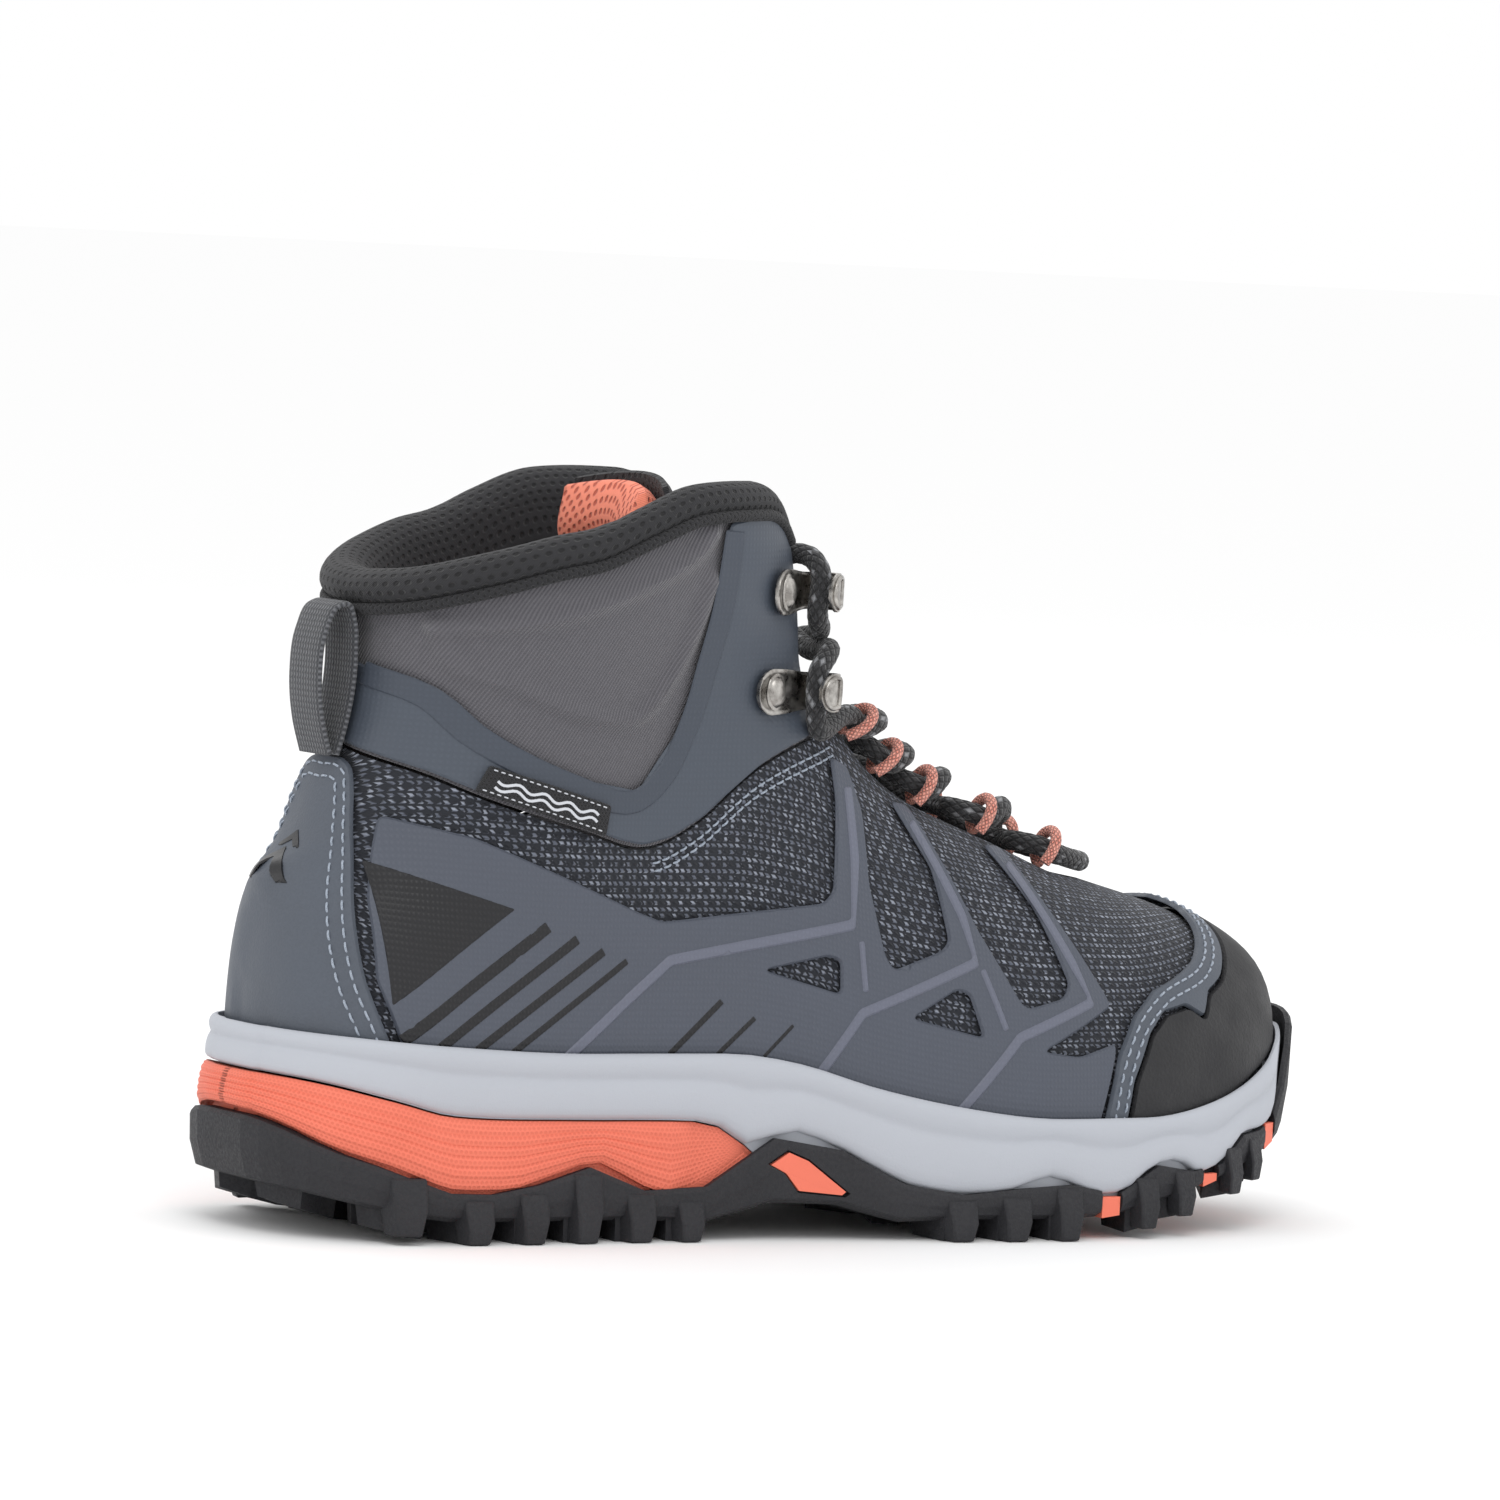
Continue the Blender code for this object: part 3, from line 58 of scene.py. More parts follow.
# Heights of the outer and inner face of each layer above the surface of the upper.
KNIT = (0.0, -1.1)
BOOTIE = (-2.9, -4.3)
STIFFENER = (-1.5, -2.4)
OVERLAY = (1.6, 0.85)
FILM = (1.45, 0.95)
BAND = (1.75, 1.4)
RAISED_PRINT = (1.9, 1.5)
FLAT_PRINT = (1.72, 1.5)
CAP = (2.1, 1.1)
MARK = (2.32, 1.9)
TAG_SHEET = (2.9, 2.2)
TAG_WAVE = (3.05, 2.8)
STITCH_LIFT = 0.05
EYELET_ALPHA = (45.0, 34.0, 24.5, 16.0, 9.5)
HOOK_Z = (115.5, 136.5)
HOOK_PLATE = 1.3                        # the middle of a hook's plate above the film
LACE_R = 2.2
LOOP_R = 1.25
CORD_LOOP_R = 4.1                       # a loop's round about the lace in it
SIDES = ((-1, "lateral"), (1, "medial"))


# ---------------------------------------------------------------- profiles
def curve(*points, limited=True):
    """A smooth function through (x, y) points; limited keeps it from overshooting them."""
    x, y = np.array(points, float).T
    h = np.diff(x)
    d = np.diff(y) / h
    m = np.concatenate([[d[0]], (d[:-1] * h[1:] + d[1:] * h[:-1]) / (h[:-1] + h[1:]), [d[-1]]])
    if limited:
        most = 3 * np.minimum(np.abs(d[:-1]), np.abs(d[1:])) * (d[:-1] * d[1:] > 0)
        m[1:-1] = np.clip(m[1:-1], -most, most)

    def value(q):
        q = np.clip(np.asarray(q, float), x[0], x[-1])
        i = np.clip(np.searchsorted(x, q, side="right") - 1, 0, len(x) - 2)
        t = (q - x[i]) / h[i]
        return ((2 * t**3 - 3 * t**2 + 1) * y[i] + (t**3 - 2 * t**2 + t) * h[i] * m[i]
                + (3 * t**2 - 2 * t**3) * y[i + 1] + (t**3 - t**2) * h[i] * m[i + 1])

    return value


def rounding(x, start, end, power):
    """1 up to start, then a superellipse quarter down to 0 at end."""
    u = np.clip((np.asarray(x, float) - start) / (end - start), 0, 1)
    return (1 - u**power) ** (1 / power)


def unit(vectors):
    return vectors / np.linalg.norm(vectors, axis=-1, keepdims=True)


def reach_along(line):
    """How far along a line each of its points is."""
    return np.concatenate([[0], np.cumsum(np.linalg.norm(np.diff(line, axis=0), axis=1))])


# Plan of the last.
centre = curve((0, 0), (60, 0), (120, 0), (180, 3), (230, 7), (262, 9))
lateral = curve((0, 30), (36, 31), (70, 31), (105, 32.5), (140, 38), (170, 43.5), (195, 46),
                (215, 46), (262, 41))
medial = curve((0, 30), (36, 30.5), (70, 30), (105, 29), (140, 32), (170, 37.5), (195, 40.5),
               (215, 40), (262, 36))
# Side view of the last: the line where upper meets sole, the instep, and the shaft.
welt = curve((0, 43), (20, 42), (40, 40.5), (75, 39), (105, 39), (122, 37), (140, 32), (160, 28),
             (185, 25.5), (206, 25.5), (225, 28), (245, 34), (262, 42))
instep = curve((0, 70), (60, 90), (100, 108), (122, 112), (135, 107.5), (150, 99.5), (165, 92.5),
               (180, 86.5), (200, 78.5), (220, 73), (240, 70.5), (262, 69))
shaft_back = curve((30, 12.5), (45, 13.5), (60, 15.5), (75, 19.5), (90, 24), (100, 27.5),
                   (112, 30.5), (125, 31), (137, 28.5), (150, 24))
shaft_front = curve((30, 110), (60, 120), (80, 128), (95, 131), (108, 131.5), (120, 131),
                    (132, 130), (145, 128), (160, 124))
shaft_half = curve((30, 30), (50, 31.5), (65, 32.5), (80, 32.5), (100, 32.5), (118, 34),
                   (135, 36.5), (150, 38))
# Heights along the sole.
ground = curve((5, 9), (12, 6.5), (25, 3), (37, 0.5), (45, 0), (100, 0), (104, 1.5), (110, 7),
               (125, 7.5), (143, 5), (154, 0.5), (162, 0), (195, 0), (203, 1.2), (212, 3.5),
               (222, 5.5), (232, 8), (244, 11.5), (255, 17), (265, 24), (274, 33))
lug_height = curve((5, 2.5), (16, LUG_DEPTH), (98, LUG_DEPTH), (108, 0.5), (146, 0.5),
                   (156, LUG_DEPTH), (240, LUG_DEPTH), (255, 2.5), (274, 2))
rubber_edge = curve((5, 25), (9, 27), (14, 24), (20, 19.5), (29, 15.5), (43, 10.5), (53, 10.5),
                    (64, 13.5), (74, 16), (83, 12.5), (92, 9), (101, 11.5), (110, 17.5), (121, 23),
                    (131, 20), (141, 15), (148, 12), (162, 10), (172, 10.5), (182, 13.5),
                    (195, 9.5), (202, 10.5), (208, 15), (215, 16.5), (222, 13.5), (229, 15.5),
                    (236, 21), (246, 22), (251, 26), (257, 39), (262, 45), (274, 47))
wedge_top = curve((5, 34), (16, 33), (29, 29.5), (40, 26.5), (70, 25.5), (100, 25), (107, 22.5),
                  (112, 19), (117, 14.8))
cup_floor = curve((0, 35), (60, 31.5), (105, 30.5), (140, 23.5), (170, 18.5), (200, 17), (225, 20),
                  (245, 25.5), (265, 34))
# Edges on the shaft, by angle from straight ahead round the shaft's axis.
knit_line = curve((18, 108.5), (27, 106), (42, 99), (60, 88), (85, 82), (106, 85), (140, 92),
                  (153, 96), (180, 101))
collar_line = curve((24, 145), (32, 150), (45, 153), (73, 152), (93, 147), (109, 142), (121, 140),
                    (138, 136), (160, 131.5), (180, 130))
eyestay_angle = curve((104, 27.5), (122, 28.5), (134, 26.5), (150, 25.5))
# Half width of the throat, by the angle of throat_point.
throat_half = curve((8, 12.5), (20, 14.5), (35, 16.5), (45, 18.5), (51, 20.5))

SHAFT_AXIS_X = 80.0
THROAT_ORIGIN = np.array([95.0, 0.0, 60.0])
TOE_ORIGIN = np.array([205.0, 4.0, 34.0])
HEEL_ORIGIN_X = 60.0


def slab_bottom(x):
    return ground(x) + lug_height(x)


def tray_floor(x):
    return slab_bottom(x) + curve((5, 3), (240, 3), (255, 2.2), (274, 2))(x)


# ---------------------------------------------------------------- surface of the upper
def ends(x):
    return rounding(-x, -40, -HEEL_X, 2.3) * rounding(x, 205, TOE_X, 2.25)


def body(p):
    """Signed distance, roughly: negative inside the upper, positive outside it."""
    x, y, z = np.moveaxis(np.asarray(p, float), -1, 0)
    middle = centre(x)
    width = np.where(y < middle, lateral(x), medial(x)) * ends(x) + 1e-3
    height = (instep(x) - welt(x)) * rounding(x, 212, TOE_X + 1.5, 2.4) + 1e-3
    across = np.abs(y - middle) / width
    up = np.clip(z - welt(x), 0, None) / height
    foot = ((across**2.5 + up**1.9) ** (1 / 2.2) - 1) * np.minimum(width, height)
    beyond = np.clip(x - TOE_X, 0, None) + np.clip(HEEL_X - x, 0, None)
    foot = np.where(beyond > 0, beyond + 1, np.minimum(foot, 200))
    length = (shaft_front(z) - shaft_back(z)) / 2
    x_middle = (shaft_front(z) + shaft_back(z)) / 2
    half = shaft_half(z)
    oval = (np.abs(x - x_middle) / length) ** 2.3 + (np.abs(y) / half) ** 2.3
    shaft = oval ** (1 / 2.3) * half - half
    reach = 5 + 17 * np.clip((x - 80) / 50, 0, 1)
    near = np.clip(reach - np.abs(foot - shaft), 0, None) / reach
    return np.minimum(foot, shaft) - near * near * reach / 4


def cast(origin, direction, far=260.0):
    """Where rays from inside the upper leave it."""
    direction = unit(np.asarray(direction, float))
    origin = np.broadcast_to(np.asarray(origin, float), direction.shape)
    low = np.zeros(direction.shape[:-1])
    high = np.broadcast_to(np.asarray(far, float), direction.shape[:-1]).copy()
    for _ in range(34):
        middle = (low + high) / 2
        inside = body(origin + direction * middle[..., None]) < 0
        low = np.where(inside, middle, low)
        high = np.where(inside, high, middle)
    return origin + direction * low[..., None]


def normal(p, step=0.4):
    p = np.asarray(p, float)
    slope = unit(np.stack([body(p + axis) - body(p - axis) for axis in np.eye(3) * step], -1))
    # At the very back of the heel the surface is an end wall, which faces away from its middle.
    away = (p - (HEEL_ORIGIN_X, 0, 0)) * (1, 1, 0)
    away /= np.linalg.norm(away, axis=-1, keepdims=True) + 1e-9
    share = np.clip((16.5 - p[..., :1]) / 2, 0, 1) * np.clip((75 - p[..., 2:]) / 15, 0, 1)
    return unit(slope * (1 - share) + away * share)


def lifted(p, distance):
    return p + normal(p) * distance


def shaft_point(angle, z, distance=0.0):
    """angle: degrees from straight ahead, negative on the lateral side."""
    turn = np.radians(angle)
    z = np.broadcast_to(np.asarray(z, float), turn.shape)
    origin = np.stack([np.full(turn.shape, SHAFT_AXIS_X), 0 * turn, z], -1)
    return lifted(cast(origin, np.stack([np.cos(turn), np.sin(turn), 0 * turn], -1)), distance)


def throat_point(alpha, y, distance=0.0):
    """alpha: degrees up from level, seen from THROAT_ORIGIN, in the upright plane at y."""
    turn = np.radians(np.asarray(alpha, float))
    y = np.broadcast_to(np.asarray(y, float), turn.shape)
    origin = np.stack([0 * turn + THROAT_ORIGIN[0], y, 0 * turn + THROAT_ORIGIN[2]], -1)
    return lifted(cast(origin, np.stack([np.cos(turn), 0 * turn, np.sin(turn)], -1)), distance)


def side_point(x, z, side, distance=0.0):
    """The point of one flank at x and z; side is -1 lateral, +1 medial."""
    x = np.asarray(x, float)
    origin = np.stack([x, centre(x), np.asarray(z, float)], -1)
    direction = np.broadcast_to(np.array([0.0, side, 0.0]), origin.shape)
    return lifted(cast(origin, direction), distance)


def heel_point(turn_mm, z, distance=0.0):
    """turn_mm: distance round the heel from its middle, lateral negative."""
    turn = math.pi + np.asarray(turn_mm, float) / HEEL_RADIUS
    origin = np.stack([0 * turn + HEEL_ORIGIN_X, 0 * turn, np.asarray(z, float)], -1)
    return lifted(cast(origin, np.stack([np.cos(turn), -np.sin(turn), 0 * turn], -1)), distance)


def toe_point(turn_mm, rise_mm, distance=0.0):
    """Round the toe and up it, both as distances on a sphere of TOE_RADIUS."""
    turn = np.asarray(turn_mm, float) / TOE_RADIUS
    rise = np.asarray(rise_mm, float) / TOE_RADIUS
    direction = np.stack([np.cos(rise) * np.cos(turn), np.cos(rise) * np.sin(turn), np.sin(rise)],
                         -1)
    return lifted(cast(TOE_ORIGIN, direction), distance)


# ---------------------------------------------------------------- the ring round the sole
def ring_stations():
    heel = np.linspace(0.04, 1, RING_HEEL, endpoint=False) ** 1.6
    toe = 1 - np.linspace(1, 0.02, RING_TOE + 1) ** 1.35
    return np.concatenate([HEEL_X + (WEDGE_X - HEEL_X) * (1 - np.cos(heel * math.pi / 2)),
                           WEDGE_X + (TOE_X - WEDGE_X) * np.sin(toe * math.pi / 2)])


STATION_X = ring_stations()
COLUMNS = len(STATION_X)


def welt_ring():
    """The foot of the upper: lateral side heel to toe, then the medial side back."""
    loops = []
    for side, half in ((-1, lateral), (1, medial)):
        aim = np.stack([STATION_X, centre(STATION_X) + side * half(STATION_X) * ends(STATION_X),
                        welt(STATION_X) - 2], -1)
        hub = np.clip(STATION_X, 45, 215)
        start = np.stack([hub, centre(hub), aim[:, 2]], -1)
        loops.append(cast(start, aim - start))
    return np.concatenate([loops[0], loops[1][::-1]])


WELT_RING = welt_ring()
RING_X = np.concatenate([STATION_X, STATION_X[::-1]])


def ring_normals(ring):
    along = np.roll(ring[:, :2], -1, 0) - np.roll(ring[:, :2], 1, 0)
    return unit(np.stack([along[:, 1], -along[:, 0]], -1))


WELT_NORMAL = ring_normals(WELT_RING)
TOE_BLEND = np.clip((RING_X - 249) / 5, 0, 1)   # 1 where the outsole wraps up over the toe


def sole_ring(distance, z, heel=0.0, toe=0.0):
    """The welt ring moved out by distance, drawn out at the heel and toe, at height z."""
    plan = WELT_RING[:, :2] + WELT_NORMAL * np.reshape(distance, (-1, 1))
    plan[:, 0] -= heel * np.clip(1 - (RING_X - HEEL_X) / 40, 0, 1) ** 2
    plan[:, 0] += toe * np.clip((RING_X - 235) / 30, 0, 1) ** 2
    return np.column_stack([plan, np.broadcast_to(z, RING_X.shape)])


OUTLINE = sole_ring(SOLE_EDGE, 0.0, heel=4.5, toe=2.5)
# The middle of the sole's outline, on the ground: the frame's origin.
ORIGIN = np.array([138.0023014, 1.70120371, 0.0])


def inside(points, outline):
    """Even-odd test of (n, 2) points against a closed outline."""
    x, y = points[:, 0], points[:, 1]
    found = np.zeros(len(points), bool)
    for (ax, ay), (bx, by) in zip(outline, np.roll(outline, -1, 0)):
        crosses = (ay > y) != (by > y)
        with np.errstate(divide="ignore", invalid="ignore"):
            found ^= crosses & (x < (bx - ax) * (y - ay) / (by - ay) + ax)
    return found


def split_edges(outline, spacing):
    outline = np.array(outline, float)
    pieces = []
    for a, b in zip(outline, np.roll(outline, -1, 0)):
        count = max(1, math.ceil(np.linalg.norm(b - a) / spacing))
        pieces.append(a + (b - a) * np.arange(count)[:, None] / count)
    return np.concatenate(pieces)


def smooth_route(points, count):
    """count points along a smooth line through the given ones."""
    points = np.array(points, float)
    reach = reach_along(points)
    fine = np.linspace(0, reach[-1], count * 8)
    track = np.stack([curve(*zip(reach, points[:, i]), limited=False)(fine) for i in range(3)], -1)
    length = reach_along(track)
    even = np.linspace(0, length[-1], count)
    return np.stack([np.interp(even, length, track[:, i]) for i in range(3)], -1)


def smooth_line(points, count):
    """smooth_route for points in a plane."""
    return smooth_route([(a, b, 0) for a, b in points], count)[:, :2]


def beside(line, distance):
    """A line in a plane, moved to its left."""
    along = unit(np.gradient(line, axis=0))
    return line + np.stack([-along[:, 1], along[:, 0]], -1) * distance


def edge_half(x, side):
    """Half width of the outsole at x, measured from Y = 0."""
    line = OUTLINE[:COLUMNS] if side < 0 else OUTLINE[COLUMNS:][::-1]
    return abs(np.interp(x, line[:, 0], line[:, 1]))


def wall_grid(top_edge, rows, foot_lift):
    """Points of the upper from the cup floor to a top edge given for each column."""
    hub_x = np.clip((RING_X + top_edge[:, 0]) / 2, 62, 205)
    hub_z = curve((12, 75), (62, 75), (125, 60), (205, 42), (265, 42))(hub_x)
    hub = np.stack([hub_x, centre(hub_x), hub_z], -1)
    start = WELT_RING - hub
    finish = top_edge - hub
    start_unit, finish_unit = unit(start), unit(finish)
    between = np.arccos(np.clip((start_unit * finish_unit).sum(1), -1, 1))[:, None]
    low = WELT_RING.copy()
    low[:, 2] = cup_floor(RING_X) + foot_lift
    grid = [low]
    for t in np.linspace(0, 1, rows):
        way = np.sin((1 - t) * between) * start_unit + np.sin(t * between) * finish_unit
        way = way / np.sin(between)
        reach = np.linalg.norm(np.where(t > 0.5, finish, start), axis=1) * 1.25 + 6
        grid.append(cast(hub, way, reach))
    return np.array(grid)


def grid_offset(grid, distance):
    """The grid moved out from the surface; its foot moves level, in line with the ring."""
    moved = lifted(grid, distance)
    moved[0, :, :2] = WELT_RING[:, :2] + WELT_NORMAL * distance
    moved[0, :, 2] = grid[0, :, 2]
    return moved


def mirrored(lateral_edge, medial_edge):
    return np.concatenate([lateral_edge, medial_edge[::-1]])


def edge_path(shaft_columns, front_columns, throat_columns, line_of, front_low, front_high):
    """Top edge of a layer on both sides: round the shaft, down its front, then along the throat."""
    halves = []
    toe_columns = COLUMNS - shaft_columns - front_columns - throat_columns
    for side in (-1, 1):
        angle = np.linspace(179.2, 28, shaft_columns)
        shaft = shaft_point(side * angle, line_of(angle))
        front_z = np.linspace(front_high, front_low, front_columns + 1)[1:]
        front_angle = np.linspace(26, 22, front_columns)
        front = shaft_point(side * front_angle, front_z)
        ridge = np.linspace(140, 203.5, throat_columns)
        alpha = np.degrees(np.arctan2(instep(ridge) - THROAT_ORIGIN[2], ridge - THROAT_ORIGIN[0]))
        throat = throat_point(alpha, side * throat_half(alpha))
        swing = np.linspace(0.15, 0.97, toe_columns) * math.pi / 2
        bend_alpha = alpha[-1] - 2.4 * np.sin(swing)
        bend = throat_point(bend_alpha,
                            side * throat_half(alpha[-1]) * np.cos(swing) + 1.5 * np.sin(swing))
        halves.append(np.concatenate([shaft, front, throat, bend]))
    return mirrored(*halves)


def toe_foot(turn):
    """How high on the toe's sphere the sole's cup starts, at a turn in degrees."""
    return curve((0, 7), (30, 1.5), (60, -8.5), (80, -13), (92, -14.5), (101, -15.5))(np.abs(turn))


CAP_EDGE = ((0, 40), (20, 35), (44, 24), (54, 21.5), (60, 15), (66, 19), (76, 17.5), (83, 12),
            (90, -1), (92.5, -13))
RAND_EDGE = ((101, -13), (96, 6.5), (89, 17.6), (79, 25), (53, 32), (25, 43), (0, 48))


# Section of the collar: distance from the surface, rise over the collar line, and how far the
# point has moved down towards the foot of the lining, where 1 is just above the knit.
COLLAR_SECTION = ((0.9, 0.5, 0), (2.0, 2.6, 0), (1.2, 5.2, 0), (-1.5, 6.8, 0), (-5.0, 6.4, 0),
                  (-8.0, 3.8, 0), (-9.4, -1.5, 0), (-9.0, 0, 0.33), (-6.8, 0, 0.7), (-4.6, 0, 1),
                  (-2.2, 0, 1), (-2.1, 0, 0.66), (-2.1, 0, 0.33), (-1.9, 0.3, 0))


TONGUE_LINE = ((213, 70), (200, 75.2), (180, 83.3), (165, 89.3), (150, 96.2), (138, 102.6),
               (127.5, 112), (118.5, 124), (111, 137), (104.5, 150), (99.5, 160.5))


def tongue_face(rows, across):
    """The outer face of the tongue, kept 5 mm inside the upper's surface."""
    line = smooth_route([(x, 0, z) for x, z in TONGUE_LINE], rows)
    along = unit(np.gradient(line, axis=0))
    up = np.stack([along[:, 2], 0 * along[:, 0], -along[:, 0]], -1)
    travel = np.linspace(0, 1, rows)
    half = curve((0, 12), (0.15, 17), (0.35, 20), (0.6, 19), (0.8, 21), (0.93, 23), (1, 19))(travel)
    radius = curve((0, 26), (0.4, 24), (0.6, 25), (1, 32))(travel)
    y = np.linspace(-1, 1, across) * half[:, None]
    face = line[:, None] - up[:, None] * (y**2 / 2 / radius[:, None])[..., None]
    face[..., 1] += y + (centre(line[:, 0]) * (1 - travel))[:, None]
    over = np.clip(body(face) + 5.0, 0, None)
    return face - normal(face) * over[..., None]


PULL_ROUTE = ((22.5, 99.2), (20.4, 106), (19.2, 116), (20.2, 125), (22.8, 130), (25.2, 130.6),
              (26.8, 127.5), (27.5, 121), (27.2, 113), (25.8, 105), (24.2, 99.2))


def hook_frame(side, z):
    """Origin at the rivet, then unit vectors forward, outward and up along the eyestay."""
    place = shaft_point(np.array([side * (float(eyestay_angle(z)) + 11.5)]), np.array([z]),
                        FILM[0])[0]
    ahead = shaft_point(np.array([side * float(eyestay_angle(z))]), np.array([z]), FILM[0])[0]
    forward = unit(ahead - place)
    up = np.array([0.0, 0.0, 1.0])
    out = np.cross(up, forward) * side
    return place, forward, out, up


def edge_point(alpha, side, along, beyond, lift):
    """A point by the throat's edge: up along it, outward over the knit, and off the surface."""
    about = [alpha - 1, alpha, alpha + 1]
    low, place, high = throat_point(about, side * throat_half(about))
    forward = unit(high - low)
    up = normal(place)
    outward = np.cross(forward, up)
    outward *= side * np.sign(outward[1]) / np.linalg.norm(outward)
    return place + forward * along + outward * beyond + up * lift


LACE_BEYOND, LACE_LIFT = -2.3, 3.9      # the lace's middle where it runs through a loop
LACE_TURN_IN = 5.8                      # how far inside the throat's edge it turns off to cross


def lace_over_throat(side):
    """From the top loop of one side down the throat to the lowest loop, crossing at each step."""
    over = side < 0
    route = []
    for number, alpha in enumerate(EYELET_ALPHA):
        if number:
            route.append(edge_point(alpha, side, 5.2, -LACE_TURN_IN, 6.6 if over else 2.2))
            over = not over
        route += [edge_point(alpha, side, shift, LACE_BEYOND, LACE_LIFT) for shift in (1.7, -1.7)]
        if number == len(EYELET_ALPHA) - 1:
            return route
        route.append(edge_point(alpha, side, -5.2, -LACE_TURN_IN, 6.6 if over else 2.2))
        lower = EYELET_ALPHA[number + 1]
        for part in (0.3, 0.7):
            y = side * (throat_half(alpha) - LACE_TURN_IN) * (1 - 2 * part)
            way = alpha + (lower - alpha) * (0.5 + (part - 0.5) * 0.5)
            route.append(throat_point(way, y, 6.9 if over else 1.7))
        side = -side
    return route


# Where the lace runs at the hooks: forward, outward and up from a rivet.
HOOK_PASS = ((10.0, 5.0, 4.7), (10.0, 5.0, -4.7))
LACE_TUCK = ((12.2, 1.6, 7.2), (13.0, -2.6, 7.4), (13.0, -6.2, 4.6), (13.0, -7.6, 0.8))


def hook_points(side, level, places):
    place, forward, out, up = hook_frame(side, HOOK_Z[level])
    return [place + forward * a + out * b + up * c for a, b, c in places]


def lace_over_ankle(side):
    """From the end tucked behind one eyestay, through that side's upper hook and the other side's
    lower hook, to the top loop below it."""
    if side < 0:
        bridge = [(138.5, -10, 128.8), (143.5, -1, 126.4), (140.5, 9.5, 124.4)]
    else:
        bridge = [(135.0, 10, 129.0), (138.0, 1, 126.2), (136.0, -10, 123.6)]
    return (hook_points(side, 1, LACE_TUCK[::-1] + HOOK_PASS + ((13.2, 4.3, -7.3),))
            + [np.array(p) for p in bridge]
            + hook_points(-side, 0,
                          ((13.2, 4.3, 7.3), HOOK_PASS[0], (10.0, 4.7, -4.2), (11.2, 4.2, -7.0))))


def lace():
    """One lace, from the end tucked at the lateral side to the one tucked at the medial side."""
    down = lace_over_ankle(-1) + lace_over_throat(1)
    up = lace_over_ankle(1) + lace_over_throat(-1)
    toe_bar = throat_point(EYELET_ALPHA[-1] - 2.6, 0.0, 3.7)
    return down + [toe_bar] + up[::-1]


